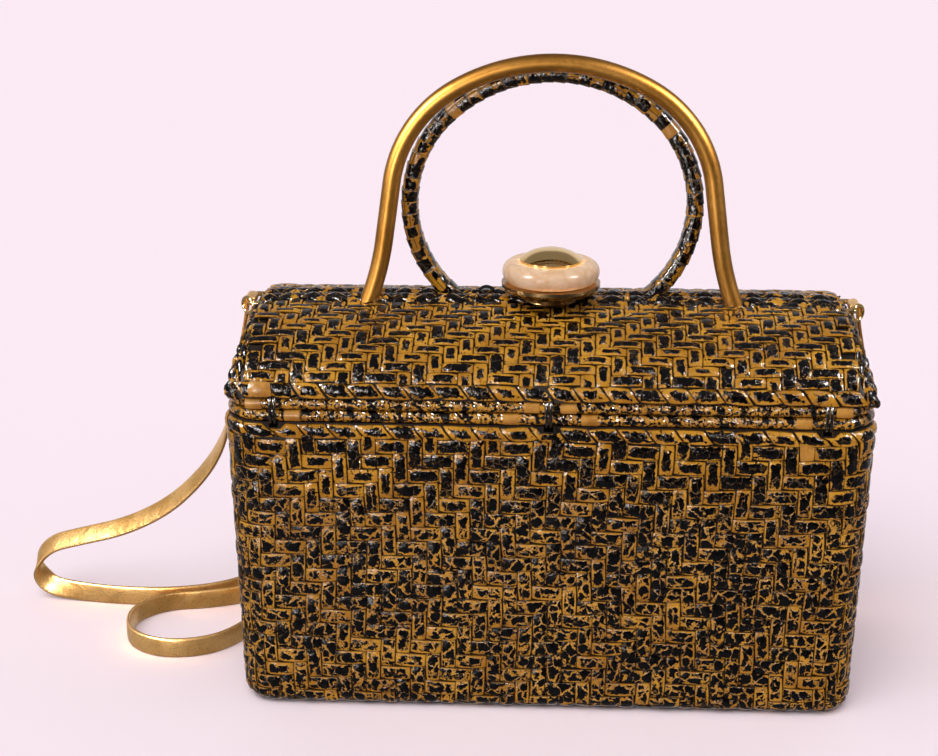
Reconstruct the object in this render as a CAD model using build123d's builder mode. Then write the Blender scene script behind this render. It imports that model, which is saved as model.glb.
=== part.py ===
# Woven cane handbag: a straight-sided basket under a domed top that is split along its ridge.
# The front half of the top is a lid on wire loops, the back half is lashed to the basket.
# The lid carries the metal handle and the turning clasp, the back half the wrapped cane handle.
# Millimetres, +Z up, the front faces -Y, the origin is the middle of the base on the floor.
import math
import os

from build123d import *

os.makedirs("parts", exist_ok=True)

# Basket
body_length = 280.0
body_depth = 120.0
corner_radius = 18.0
wall = 4.0
floor_thickness = 3.0
wall_lean = 3.5
floor_lap = 1.2
base_round = 8.0
weave_rows = 18
weave_warps = 116
twill_repeat = 4
twill_half = 2
ridge_height = 1.0
upright_stand = 0.4
upright_width_share = 0.82
upright_reach_share = 0.84
seam_height = 143.0
braid_height = 7.0
braid_pitch = 12.4
braid_width = 9.0
braid_slant = 4.5

# Rim rods and the clearances at the seam
rim_diameter = 5.0
rim_inset = 2.6
seam_gap = 0.4
seat_gap = 0.1

# Domed top
dome_rise = 27.2
dome_inset = 1.0
dome_end_inset = 1.5
dome_end_lean = 7.0
dome_edge_round = 8.0
split_gap = 1.0
border_radius = 3.5
border_stand = 2.5
lid_rows = 12
lid_warp_pitch = 6.5
lid_valley = 0.15
row_margin = 10.0

# Wire loops of the lid hinge
loop_wire = 1.3
loop_clearance = 0.3
loop_spacing = 118.0
loop_wire_pitch = 1.8
notch_clearance = 0.5
loop_swing_room = 1.5

# Metal handle
tube_diameter = 8.0
tube_y = -6.0
tube_rise = 108.0
crown_radius = 85.0
crown_angle = 30.0
shoulder_radius = 57.0
leg_angle = 82.0
leg_length = 26.0
flare_radius = 120.0
flare_angle = 12.0
tube_reach = 2.66
hole_clearance = 0.2
screw_diameter = 4.0
screw_depth = 9.0
screw_tip_room = 1.0
screw_head_diameter = 7.0
screw_head_height = 2.5
washer_diameter = 10.0
washer_thickness = 1.0

# Wrapped cane handle
cane_y = 7.5
cane_rise = 101.5
cane_thickness = 7.0
cane_depth = 11.0
cane_round = 3.0
cane_crown_radius = 67.0
cane_crown_angle = 45.0
cane_side_radius = 55.0
cane_side_angle = 92.0
cane_reach = 2.79
cane_clearance = 0.4

# Turning clasp
knob_y = -4.0
knob_diameter = 44.0
collar_diameter = 24.0
collar_height = 2.5
bush_diameter = 9.0
bush_length = 12.0
spindle_diameter = 6.0
turn_clearance = 0.4
spindle_clearance = 0.1
dish_height = 5.0
dish_foot_diameter = 34.0
dish_lip = 1.5
dish_flank_radius = 9.0
pearl_height = 9.5
pearl_hole_diameter = 16.0
pearl_round = 4.5
pearl_inset = 0.4
cap_diameter = 28.0
cap_height = 4.5
cap_rim = 1.0
cap_mid_x_share = 0.6
cap_mid_z_share = 0.72
cam_length = 17.0
cam_width = 8.0
cam_thickness = 2.5
cam_nut_diameter = 9.0
cam_nut_height = 3.0
keeper_length = 22.0
keeper_depth = 11.0
keeper_thickness = 2.5
keeper_setback = 1.0

# Strap fittings and the shoulder strap
bail_wire = 2.4
bail_width = 16.0
bail_y = 9.5
bail_drop = 3.0
bail_reach = 5.5
bail_root = 9.0
strap_width = 10.0
strap_thickness = 2.2
strap_fold_clearance = 0.2
tab_length = 22.0
tab_lean = 13.0

bend_share = 0.45

# Lining
lining_gap = 0.5
lining_thickness = 1.0
lining_drop = 8.7
lining_corner = 5.0

# Wire tie beside the cane handle
tie_wire = 0.9
tie_radius = 4.0
tie_sink = 0.6
tie_x = -29.0
tie_pitch = 2.4
tie_sides = 6

# Derived levels and radii
rim_radius = rim_diameter / 2
body_rim_z = seam_height - seam_gap / 2 - rim_radius
lid_rim_z = seam_height + seam_gap / 2 + rim_radius
wall_top = body_rim_z - rim_radius - seat_gap
braid_bottom = wall_top - braid_height
hinge_y = -body_depth / 2 + rim_inset
dome_base = lid_rim_z + rim_radius + seat_gap
dome_height = dome_base + dome_rise
dome_half_depth = body_depth / 2 - dome_inset
dome_half_length = body_length / 2 - dome_end_inset
border_y = split_gap / 2 + border_radius
border_top = dome_height + border_stand
border_z = border_top - border_radius
border_half_length = dome_half_length - dome_end_lean - border_radius
row_half_length = dome_half_length - dome_end_lean - row_margin
tube_apex = dome_height + tube_rise
cane_apex = dome_height + cane_rise
bail_height = dome_height - bail_drop
tube_end_z = dome_height - wall - tube_reach
cane_end_z = dome_height - wall - cane_reach


def finish(piece, name):
    """Labels one piece and writes it out."""
    piece.part.label = name
    export_step(piece.part, f"parts/{name}.step")


# Basket body: one ridged wall section carried round the four sides, upright canes on the front, a flat floor
row_pitch = (braid_bottom - base_round) / weave_rows
foot_inset = wall_lean + base_round


def lean_at(height):
    """How far the wall stands inside its top edge at a height."""
    return -wall_lean * (1 - height / wall_top)


def outer_wall_points():
    """Ridges of the woven wall from the base rounding up to the braid, outward and up."""
    points = []
    for row in range(weave_rows):
        valley = base_round + row * row_pitch
        crest = valley + row_pitch / 2
        points.append((lean_at(valley) - ridge_height, valley))
        points.append((lean_at(crest), crest))
    points.append((lean_at(braid_bottom) - ridge_height, braid_bottom))
    points.append((-ridge_height, wall_top))
    return points


def upright_columns(columns, row, phase):
    """Columns whose upright cane lies over the two rows that meet at the top of this row."""
    return [column for column in range(-columns, columns) if (row - column - phase) % twill_repeat == 0]


def braid_pad():
    """Corners of one slanted pad of the braid, leaning to the left as it rises."""
    lean = braid_slant / 2
    return [
        (-braid_width / 2 + lean, -braid_height / 2),
        (braid_width / 2 + lean, -braid_height / 2),
        (braid_width / 2 - lean, braid_height / 2),
        (-braid_width / 2 - lean, braid_height / 2),
    ]


with BuildLine() as half_path:
    FilletPolyline(
        (0, -body_depth / 2),
        (-body_length / 2, -body_depth / 2),
        (-body_length / 2, body_depth / 2),
        (0, body_depth / 2),
        radius=corner_radius,
    )

section_plane = Plane(origin=(0, -body_depth / 2, 0), x_dir=(0, -1, 0), z_dir=(-1, 0, 0))
floor_half_length = body_length / 2 - foot_inset
floor_half_depth = body_depth / 2 - foot_inset
braid_columns = int((body_length - 2 * corner_radius) / braid_pitch)
outline_length = 2 * (body_length + body_depth) - (8 - 2 * math.pi) * corner_radius
warp_pitch = outline_length / weave_warps
warp_columns = int((body_length / 2 - corner_radius) / warp_pitch)
wall_tilt = math.atan(wall_lean / wall_top)
front_wall_plane = Plane(
    origin=(0, wall_lean - body_depth / 2, 0),
    x_dir=(1, 0, 0),
    z_dir=(0, -math.cos(wall_tilt), -math.sin(wall_tilt)),
)
loop_radius = rim_radius + loop_clearance + loop_wire / 2
notch_radius = loop_radius + loop_wire / 2 + loop_swing_room
notch_width = loop_wire_pitch + loop_wire + 2 * notch_clearance
loop_places = (-loop_spacing, 0, loop_spacing)

with BuildPart() as basket_body:
    with BuildSketch(section_plane):
        with BuildLine():
            ridges = Polyline(*outer_wall_points())
            top = Line(ridges @ 1, (-wall, wall_top))
            inner = Line(top @ 1, (-wall - wall_lean, foot_inset))
            cove = Line(inner @ 1, (-foot_inset, floor_thickness))
            strip = Polyline(
                cove @ 1,
                (-foot_inset - floor_lap, floor_thickness),
                (-foot_inset - floor_lap, 0),
                (-foot_inset, 0),
            )
            RadiusArc(strip @ 1, ridges @ 0, -base_round)
        make_face()
    sweep(path=half_path.wires()[0])
    mirror(about=Plane.YZ)
    with BuildSketch():
        RectangleRounded(2 * floor_half_length, 2 * floor_half_depth, corner_radius - foot_inset)
    extrude(amount=floor_thickness)
    for side in (1, -1):
        braid_plane = Plane(
            origin=(0, -side * (body_depth / 2 - 2 * ridge_height), braid_bottom + braid_height / 2),
            x_dir=(side, 0, 0),
            z_dir=(0, -side, 0),
        )
        with BuildSketch(braid_plane):
            with GridLocations(braid_pitch, 0, braid_columns, 1):
                with BuildLine():
                    Polyline(*braid_pad(), close=True)
                make_face()
        extrude(amount=2 * ridge_height)
    with BuildSketch(front_wall_plane.offset(upright_stand)):
        for row in range(1, weave_rows):
            for column in upright_columns(warp_columns, row, twill_half):
                with Locations(((column + 0.5) * warp_pitch, base_round + row * row_pitch)):
                    Rectangle(upright_width_share * warp_pitch, upright_reach_share * 2 * row_pitch)
    extrude(amount=-upright_stand - 2 * ridge_height)
    for place in loop_places:
        with BuildSketch(Plane(origin=(place, hinge_y, body_rim_z), z_dir=(1, 0, 0))):
            Circle(notch_radius)
        extrude(amount=notch_width / 2, both=True, mode=Mode.SUBTRACT)
finish(basket_body, "basket_body")

# Rim rods: a closed ring on the basket and one bent rod under each half of the top
rim_half_length = body_length / 2 - rim_inset
rim_half_depth = body_depth / 2 - rim_inset
rim_corner = corner_radius - rim_inset

with BuildPart() as body_rim:
    with BuildLine(Plane.XY.offset(body_rim_z)) as ring_path:
        FilletPolyline(
            (0, -rim_half_depth),
            (-rim_half_length, -rim_half_depth),
            (-rim_half_length, rim_half_depth),
            (0, rim_half_depth),
            radius=rim_corner,
        )
        mirror(about=Plane.YZ)
    with BuildSketch(Plane(origin=(0, -rim_half_depth, body_rim_z), z_dir=(-1, 0, 0))):
        Circle(rim_radius)
    sweep(path=ring_path.wires()[0])
finish(body_rim, "body_rim")


def half_rim(side):
    """The rod along the lower edge of one half of the top, side -1 in front and 1 behind."""
    with BuildPart() as rim:
        with BuildLine(Plane.XY.offset(lid_rim_z)) as rim_path:
            FilletPolyline(
                (-rim_half_length, side * split_gap / 2),
                (-rim_half_length, side * rim_half_depth),
                (rim_half_length, side * rim_half_depth),
                (rim_half_length, side * split_gap / 2),
                radius=rim_corner,
            )
        start = (-rim_half_length, side * split_gap / 2, lid_rim_z)
        with BuildSketch(Plane(origin=start, z_dir=(0, side, 0))):
            Circle(rim_radius)
        sweep(path=rim_path.wires()[0])
    return rim


front_lid_rim = half_rim(-1)
finish(front_lid_rim, "front_lid_rim")
back_cover_rim = half_rim(1)
finish(back_cover_rim, "back_cover_rim")


# Domed top: a woven shell with leaning ends, split along the ridge under two braided borders
def dome_solid(inset):
    """The whole dome as a solid, drawn in by inset on every side but its open foot."""
    half_length = dome_half_length - inset
    with BuildPart() as dome:
        with BuildSketch(Plane.YZ):
            with BuildLine():
                arch = EllipticalCenterArc(
                    (0, dome_base), dome_half_depth - inset, dome_rise - inset, start_angle=0, arc_size=180
                )
                Line(arch @ 1, arch @ 0)
            make_face()
        extrude(amount=half_length, both=True)
        with BuildSketch(Plane.XZ):
            with BuildLine():
                Polyline(
                    (-half_length, dome_base),
                    (half_length, dome_base),
                    (half_length - dome_end_lean, dome_height),
                    (-half_length + dome_end_lean, dome_height),
                    close=True,
                )
            make_face()
        extrude(amount=body_depth, both=True, mode=Mode.INTERSECT)
    return dome


outer_dome = dome_solid(0)
inner_dome = dome_solid(wall)
front_arch = EllipticalCenterArc(
    (0, dome_base), dome_half_depth, dome_rise, start_angle=90, arc_size=90, mode=Mode.PRIVATE
)
arch_length = front_arch.length
first_row_share = (border_y + border_radius) / arch_length
last_row_share = 1 - braid_height / arch_length
row_share = (last_row_share - first_row_share) / lid_rows
lid_row_pitch = row_share * arch_length
lid_columns = int(row_half_length / lid_warp_pitch)


def off_arch(share, height):
    """A point over the front half of the arch, height outward from its skin, as depth and level."""
    point = front_arch.position_at(share)
    along = front_arch.tangent_at(share)
    return (point.X + along.Y * height, point.Y - along.X * height)


def row_outline():
    """Closed outline of the lid's woven rows, from the border down to the braid."""
    outer = []
    skin = []
    for row in range(lid_rows):
        start_share = first_row_share + row * row_share
        outer.append(off_arch(start_share, lid_valley))
        outer.append(off_arch(start_share + row_share / 2, ridge_height))
        skin.append(off_arch(start_share, -ridge_height))
    outer.append(off_arch(last_row_share, lid_valley))
    skin.append(off_arch(last_row_share, -ridge_height))
    return outer + skin[::-1]


def arch_plane(share):
    """A plane that lies along the arch, one ridge below its skin."""
    point = off_arch(share, -ridge_height)
    along = front_arch.tangent_at(share)
    return Plane(origin=(0, point[0], point[1]), x_dir=(1, 0, 0), z_dir=(0, along.Y, -along.X))


def woven_cover():
    """The front half of the dome as a shell with its rows, its braid and its border."""
    with BuildPart() as cover:
        add(outer_dome.part)
        end_faces = [faces().sort_by(Axis.X)[0], faces().sort_by(Axis.X)[-1]]
        fillet([face.edges().sort_by(SortBy.LENGTH)[-1] for face in end_faces], radius=dome_edge_round)
        split(bisect_by=Plane.XZ.offset(split_gap / 2), keep=Keep.TOP)
        with BuildSketch(Plane.YZ):
            with BuildLine():
                Polyline(*row_outline(), close=True)
            make_face()
        extrude(amount=row_half_length, both=True)
        with BuildSketch(arch_plane((1 + last_row_share) / 2)):
            with GridLocations(braid_pitch, 0, braid_columns, 1):
                with BuildLine():
                    Polyline(*braid_pad(), close=True)
                make_face()
        extrude(amount=2 * ridge_height)
        with BuildSketch(Plane.YZ):
            with Locations((-border_y, border_z)):
                Circle(border_radius)
        extrude(amount=border_half_length, both=True)
        add(inner_dome.part, mode=Mode.SUBTRACT)
    return cover.part


cover_shell = woven_cover()

# Metal handle: one bent tube, half of its line drawn from the crown down and mirrored
with BuildLine(Plane.XZ.offset(-tube_y)) as tube_path:
    crown = JernArc((0, tube_apex), (1, 0), crown_radius, -crown_angle)
    shoulder = JernArc(crown @ 1, crown % 1, shoulder_radius, crown_angle - leg_angle)
    leg = Line(shoulder @ 1, shoulder @ 1 + (shoulder % 1) * leg_length)
    flare = JernArc(leg @ 1, leg % 1, flare_radius, flare_angle)
    tail_length = ((flare @ 1).Z - tube_end_z) / -(flare % 1).Z
    tail = Line(flare @ 1, flare @ 1 + (flare % 1) * tail_length)
    mirror(about=Plane.YZ)


def end_planes(end, heading):
    """Planes at both ends of a mirrored handle, each facing out of the handle's end."""
    planes = []
    for side in (1, -1):
        origin = (side * end.X, end.Y, end.Z)
        planes.append(Plane(origin=origin, x_dir=(0, 1, 0), z_dir=(side * heading.X, heading.Y, heading.Z)))
    return planes


tube_ends = end_planes(tail @ 1, tail % 1)

with BuildPart() as metal_handle:
    with BuildSketch(tube_ends[0]):
        Circle(tube_diameter / 2)
    sweep(path=tube_path.wires()[0])
    for plane in tube_ends:
        with BuildSketch(plane):
            Circle(screw_diameter / 2 + seat_gap)
        extrude(amount=-screw_depth - screw_tip_room, mode=Mode.SUBTRACT)
finish(metal_handle, "metal_handle")

with BuildPart() as handle_washers:
    for plane in tube_ends:
        with BuildSketch(plane):
            Circle(washer_diameter / 2)
            Circle(screw_diameter / 2 + seat_gap, mode=Mode.SUBTRACT)
        extrude(amount=washer_thickness)
finish(handle_washers, "handle_washers")

with BuildPart() as handle_screws:
    for plane in tube_ends:
        with BuildSketch(plane.offset(washer_thickness)):
            Circle(screw_head_diameter / 2)
        extrude(amount=screw_head_height)
        with BuildSketch(plane.offset(washer_thickness)):
            Circle(screw_diameter / 2)
        extrude(amount=-washer_thickness - screw_depth)
finish(handle_screws, "handle_screws")

# Wrapped cane handle: an oval section on a horseshoe line
with BuildLine(Plane.XZ.offset(-cane_y)) as cane_path:
    cane_crown = JernArc((0, cane_apex), (1, 0), cane_crown_radius, -cane_crown_angle)
    cane_side = JernArc(cane_crown @ 1, cane_crown % 1, cane_side_radius, -cane_side_angle)
    cane_tail = ((cane_side @ 1).Z - cane_end_z) / -(cane_side % 1).Z
    cane_end = Line(cane_side @ 1, cane_side @ 1 + (cane_side % 1) * cane_tail)
    mirror(about=Plane.YZ)

cane_ends = end_planes(cane_end @ 1, cane_end % 1)

with BuildPart() as cane_handle:
    with BuildSketch(cane_ends[0]):
        RectangleRounded(cane_depth, cane_thickness, cane_round)
    sweep(path=cane_path.wires()[0])
finish(cane_handle, "cane_handle")

# Turning clasp on the lid's border: collar and bush, knob of three pieces, spindle, cam and nut
knob_axis = Axis((0, knob_y, 0), (0, 0, 1))
knob_plane = Plane(origin=(0, knob_y, 0), x_dir=(1, 0, 0), z_dir=(0, -1, 0))
spindle_radius = spindle_diameter / 2
bush_radius = bush_diameter / 2
collar_radius = collar_diameter / 2
collar_bottom = border_top + turn_clearance
collar_top = collar_bottom + collar_height
bush_bottom = collar_bottom - bush_length
dish_bottom = collar_top + turn_clearance
dish_top = dish_bottom + dish_height
pearl_top = dish_top + pearl_height
cap_edge = pearl_top + cap_rim
cam_top = bush_bottom - turn_clearance
cam_bottom = cam_top - cam_thickness
knob_radius = knob_diameter / 2
pearl_hole = pearl_hole_diameter / 2
cap_radius = cap_diameter / 2

with BuildPart() as clasp_collar:
    with BuildSketch(knob_plane):
        with BuildLine():
            Polyline(
                (spindle_radius + spindle_clearance, bush_bottom),
                (bush_radius, bush_bottom),
                (bush_radius, collar_bottom),
                (collar_radius, collar_bottom),
                (collar_radius - collar_height / 2, collar_top),
                (spindle_radius + spindle_clearance, collar_top),
                close=True,
            )
        make_face()
    revolve(axis=knob_axis)
finish(clasp_collar, "clasp_collar")

with BuildPart() as knob_dish:
    with BuildSketch(knob_plane):
        with BuildLine():
            foot = Line((spindle_radius + seat_gap, dish_bottom), (dish_foot_diameter / 2, dish_bottom))
            flank = RadiusArc(foot @ 1, (knob_radius, dish_top - dish_lip), -dish_flank_radius)
            Polyline(
                flank @ 1,
                (knob_radius, dish_top),
                (spindle_radius + seat_gap, dish_top),
                foot @ 0,
            )
        make_face()
    revolve(axis=knob_axis)
finish(knob_dish, "knob_dish")

with BuildPart() as knob_pearl:
    with BuildSketch(knob_plane) as pearl_section:
        with Locations(((pearl_hole + knob_radius - pearl_inset) / 2, (dish_top + pearl_top) / 2)):
            Rectangle(knob_radius - pearl_inset - pearl_hole, pearl_height)
        outside = pearl_section.vertices().group_by(Axis.X)[-1]
        fillet(outside, radius=pearl_round)
    revolve(axis=knob_axis)
finish(knob_pearl, "knob_pearl")

with BuildPart() as knob_cap:
    with BuildSketch(knob_plane):
        with BuildLine():
            crest = (0, cap_edge + cap_height)
            dome_line = ThreePointArc(
                crest,
                (cap_radius * cap_mid_x_share, cap_edge + cap_height * cap_mid_z_share),
                (cap_radius, cap_edge),
            )
            Polyline(
                dome_line @ 1,
                (cap_radius, pearl_top),
                (pearl_hole - seat_gap, pearl_top),
                (pearl_hole - seat_gap, dish_top),
                (0, dish_top),
                crest,
            )
        make_face()
    revolve(axis=knob_axis)
finish(knob_cap, "knob_cap")

with BuildPart() as clasp_spindle:
    with BuildSketch(Plane.XY.offset(dish_top)):
        with Locations((0, knob_y)):
            Circle(spindle_radius)
    extrude(amount=cam_bottom - cam_nut_height - dish_top)
finish(clasp_spindle, "clasp_spindle")

with BuildPart() as clasp_cam:
    with BuildSketch(Plane.XY.offset(cam_bottom)):
        with Locations((cam_length / 2 - cam_width / 4, knob_y)):
            SlotOverall(cam_length + cam_width / 2, cam_width)
        with Locations((0, knob_y)):
            Circle(spindle_radius + seat_gap, mode=Mode.SUBTRACT)
    extrude(amount=cam_thickness)
finish(clasp_cam, "clasp_cam")

with BuildPart() as clasp_nut:
    with BuildSketch(Plane.XY.offset(cam_bottom)):
        with Locations((0, knob_y)):
            RegularPolygon(cam_nut_diameter / 2, 6)
            Circle(spindle_radius + seat_gap, mode=Mode.SUBTRACT)
    extrude(amount=-cam_nut_height)
finish(clasp_nut, "clasp_nut")

# Keeper under the back border, a channel that the turned cam reaches under
keeper_bottom = cam_top + turn_clearance
keeper_front = split_gap / 2 + keeper_setback
keeper_back = keeper_front + keeper_depth
inner_half_depth = dome_half_depth - wall
inner_rise = dome_rise - wall
keeper_top = dome_base + inner_rise * math.sqrt(1 - (keeper_back / inner_half_depth) ** 2) - seat_gap

with BuildPart() as clasp_keeper:
    with BuildSketch(Plane.XZ.offset(-keeper_front)):
        with BuildLine():
            Polyline(
                (-keeper_length / 2, keeper_bottom),
                (keeper_length / 2, keeper_bottom),
                (keeper_length / 2, keeper_top),
                (keeper_length / 2 - keeper_thickness, keeper_top),
                (keeper_length / 2 - keeper_thickness, keeper_bottom + keeper_thickness),
                (-keeper_length / 2 + keeper_thickness, keeper_bottom + keeper_thickness),
                (-keeper_length / 2 + keeper_thickness, keeper_top),
                (-keeper_length / 2, keeper_top),
                close=True,
            )
        make_face()
    extrude(amount=-keeper_depth)
finish(clasp_keeper, "clasp_keeper")

# Front lid: its half of the dome with upright canes, notched for the loops, bored for tube and bush
with BuildPart() as front_lid:
    add(cover_shell)
    for row in range(1, lid_rows):
        with BuildSketch(arch_plane(last_row_share - row * row_share)):
            for column in upright_columns(lid_columns, row, -twill_half):
                with Locations(((column + 0.5) * lid_warp_pitch, 0)):
                    Rectangle(upright_width_share * lid_warp_pitch, upright_reach_share * 2 * lid_row_pitch)
        extrude(amount=2 * ridge_height + upright_stand)
    for place in loop_places:
        with BuildSketch(Plane(origin=(place, hinge_y, lid_rim_z), z_dir=(1, 0, 0))):
            Circle(notch_radius)
        extrude(amount=notch_width / 2, both=True, mode=Mode.SUBTRACT)
    for plane in tube_ends:
        with BuildSketch(plane):
            Circle(tube_diameter / 2 + hole_clearance)
        extrude(amount=-tail_length - tube_diameter, mode=Mode.SUBTRACT)
    with BuildSketch(Plane.XY.offset(bush_bottom)):
        with Locations((0, knob_y)):
            Circle(bush_radius + hole_clearance)
    extrude(amount=bush_length + border_radius, mode=Mode.SUBTRACT)
finish(front_lid, "front_lid")

# Strap bails: a bent wire in each end of the back half
bail_x = dome_half_length - dome_end_lean + bail_reach
bail_ends_y = (bail_y - bail_width / 2, bail_y + bail_width / 2)

# Back half of the top: bored for the cane handle and the two bails
with BuildPart() as back_cover:
    add(cover_shell, rotation=(0, 0, 180))
    for plane in cane_ends:
        with BuildSketch(plane):
            RectangleRounded(
                cane_depth + 2 * cane_clearance,
                cane_thickness + 2 * cane_clearance,
                cane_round + cane_clearance,
            )
        extrude(amount=-cane_tail - cane_thickness, mode=Mode.SUBTRACT)
    for side in (1, -1):
        for leg_y in bail_ends_y:
            mouth = Plane(origin=(side * bail_x, leg_y, bail_height), z_dir=(-side, 0, 0))
            with BuildSketch(mouth):
                Circle(bail_wire / 2 + hole_clearance)
            extrude(amount=bail_reach + bail_root + hole_clearance, mode=Mode.SUBTRACT)
finish(back_cover, "back_cover")

# Hinge: three double wire loops round the two front rods
with BuildPart() as hinge_loops:
    for place in loop_places:
        for step in (-loop_wire_pitch / 2, loop_wire_pitch / 2):
            with BuildLine(Plane.YZ.offset(place + step)) as loop_path:
                CenterArc((hinge_y, lid_rim_z), loop_radius, 0, 180)
                Line((hinge_y - loop_radius, lid_rim_z), (hinge_y - loop_radius, body_rim_z))
                CenterArc((hinge_y, body_rim_z), loop_radius, 180, 180)
                Line((hinge_y + loop_radius, body_rim_z), (hinge_y + loop_radius, lid_rim_z))
            loop_start = (place + step, hinge_y + loop_radius, lid_rim_z)
            with BuildSketch(Plane(origin=loop_start, z_dir=(0, 0, 1))):
                Circle(loop_wire / 2)
            sweep(path=loop_path.wires()[0])
finish(hinge_loops, "hinge_loops")

# Bails and folded strap ends, alike at both ends
fold_inner = bail_wire / 2 + strap_fold_clearance
fold_outer = fold_inner + strap_thickness
tab_thickness = 2 * strap_thickness
tab_drop = Vector(math.sin(math.radians(tab_lean)), 0, -math.cos(math.radians(tab_lean)))

with BuildPart() as strap_bails:
    for side in (-1, 1):
        bail_root_x = side * (bail_x - bail_reach - bail_root)
        with BuildLine(Plane.XY.offset(bail_height)) as bail_path:
            FilletPolyline(
                (bail_root_x, bail_ends_y[0]),
                (side * bail_x, bail_ends_y[0]),
                (side * bail_x, bail_ends_y[1]),
                (bail_root_x, bail_ends_y[1]),
                radius=bail_wire,
            )
        with BuildSketch(Plane(origin=(bail_root_x, bail_ends_y[0], bail_height), z_dir=(side, 0, 0))):
            Circle(bail_wire / 2)
        sweep(path=bail_path.wires()[0])
finish(strap_bails, "strap_bails")

for side, name in ((-1, "left"), (1, "right")):
    with BuildPart() as strap_end:
        with BuildSketch(Plane.XZ.offset(-bail_y)):
            with Locations((side * bail_x, bail_height)):
                Circle(fold_outer)
                with Locations(Location((0, 0), side * tab_lean)):
                    Rectangle(tab_thickness, tab_length, align=(Align.CENTER, Align.MAX))
                Circle(fold_inner, mode=Mode.SUBTRACT)
        extrude(amount=strap_width / 2, both=True)
    finish(strap_end, f"strap_end_{name}")

# Wire tie: two arcs that stand on the back border beside the cane handle, their feet sunk in it
tie_foot_z = border_z + math.sqrt(border_radius**2 - (tie_pitch / 2) ** 2) - tie_sink

with BuildPart() as handle_tie:
    for step in (-tie_pitch / 2, tie_pitch / 2):
        with BuildSketch(Plane(origin=(tie_x - tie_radius, border_y + step, tie_foot_z), z_dir=(0, 0, 1))):
            RegularPolygon(tie_wire / 2, tie_sides)
        tie_axis = Axis((tie_x, border_y + step, tie_foot_z), (0, 1, 0))
        revolve(axis=tie_axis, revolution_arc=180)
finish(handle_tie, "handle_tie")

# Lining: a thin drop-in tub
lining_height = wall_top - floor_thickness - lining_drop
lining_half_length = floor_half_length - lining_gap
lining_half_depth = floor_half_depth - lining_gap
lining_flare = math.degrees(math.atan((foot_inset - wall) / (wall_top - floor_thickness)))

with BuildPart() as lining:
    with BuildSketch(Plane.XY.offset(floor_thickness)):
        RectangleRounded(2 * lining_half_length, 2 * lining_half_depth, lining_corner)
    extrude(amount=lining_height, taper=-lining_flare)
    with BuildSketch(Plane.XY.offset(floor_thickness + lining_thickness)):
        RectangleRounded(
            2 * (lining_half_length - lining_thickness),
            2 * (lining_half_depth - lining_thickness),
            lining_corner - lining_thickness,
        )
    extrude(amount=lining_height, taper=-lining_flare, mode=Mode.SUBTRACT)
finish(lining, "lining")

# Shoulder strap: from the left bail out along the floor in two loops, behind the basket to the right bail
# The hanging runs keep their heights as shares of the height at which the strap ends let go of them
tab_ends = [
    Vector(side * bail_x, bail_y, bail_height) + Vector(side * tab_drop.X, 0, tab_drop.Z) * tab_length
    for side in (-1, 1)
]
strap_lie_height = strap_width / 2
left_hang = [
    (-145.1, 9.5),
    (-148.5, 12.5),
    (-155.5, 18.0),
    (-167.0, 23.5),
    (-185.0, 29.0),
    (-209.0, 35.5),
    (-235.0, 42.5),
    (-252.0, 47.5),
    (-261.0, 50.0),
    (-255.0, 49.0),
]
left_hang_shares = [
    0.9102,
    0.7811,
    0.6421,
    0.5230,
    0.4005,
    0.3045,
    0.2449,
    0.2019,
    0.1225,
    0.0430,
]
floor_run = [
    (-238.0, 46.0),
    (-214.0, 42.0),
    (-188.0, 42.5),
    (-165.0, 50.0),
    (-150.0, 64.0),
    (-140.0, 85.0),
    (-122.0, 107.0),
    (-94.0, 121.0),
    (-64.0, 124.0),
    (-44.0, 116.0),
    (-37.0, 102.0),
    (-44.0, 88.0),
    (-64.0, 81.0),
    (-96.0, 81.5),
    (-124.0, 76.0),
    (-141.0, 62.0),
    (-152.0, 47.5),
    (-170.0, 40.0),
    (-192.0, 36.5),
    (-206.0, 20.0),
    (-202.0, -3.0),
    (-184.0, -15.0),
    (-161.0, -11.0),
    (-147.0, 5.0),
    (-140.5, 28.0),
    (-138.0, 48.0),
    (-128.0, 63.0),
    (-104.0, 66.5),
    (-60.0, 68.0),
    (-10.0, 69.0),
    (40.0, 68.5),
    (86.0, 67.0),
]
right_hang = [
    (118.0, 64.5),
    (136.0, 58.0),
    (145.0, 49.0),
    (148.0, 40.0),
    (149.0, 31.0),
    (149.0, 22.0),
    (147.5, 13.5),
    (145.1, 9.5),
]
right_hang_shares = [
    0.0364,
    0.0563,
    0.1456,
    0.2846,
    0.4435,
    0.6090,
    0.7745,
    0.9102,
]
strap_route = [
    tuple(tab_ends[0]),
    *[(x, y, share * tab_ends[0].Z) for (x, y), share in zip(left_hang, left_hang_shares)],
    *[(x, y, strap_lie_height) for x, y in floor_run],
    *[(x, y, share * tab_ends[1].Z) for (x, y), share in zip(right_hang, right_hang_shares)],
    tuple(tab_ends[1]),
]


def route_radii(points):
    """The largest even arc at each corner of the route."""
    radii = []
    for before, corner, after in zip(points, points[1:], points[2:]):
        run_in = Vector(*corner) - Vector(*before)
        run_out = Vector(*after) - Vector(*corner)
        half_turn = math.radians(run_in.get_angle(run_out)) / 2
        radii.append(bend_share * min(run_in.length, run_out.length) / math.tan(half_turn))
    return radii


strap_radii = route_radii(strap_route)
strap_tube = tab_thickness

with BuildPart() as shoulder_strap:
    with BuildLine() as strap_path:
        FilletPolyline(*strap_route, radius=strap_radii)
    strap_line = strap_path.wires()[0]
    with BuildSketch(Plane(origin=strap_line @ 0, z_dir=strap_line % 0)):
        Circle(strap_tube / 2)
    sweep(path=strap_line)
finish(shoulder_strap, "shoulder_strap")
strap_volume = math.pi * strap_tube**2 / 4 * strap_line.length
print("strap length", round(strap_line.length, 1), "radii", [round(radius, 1) for radius in strap_radii])
print("strap volume", round(shoulder_strap.part.volume), "section by length", round(strap_volume))
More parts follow.
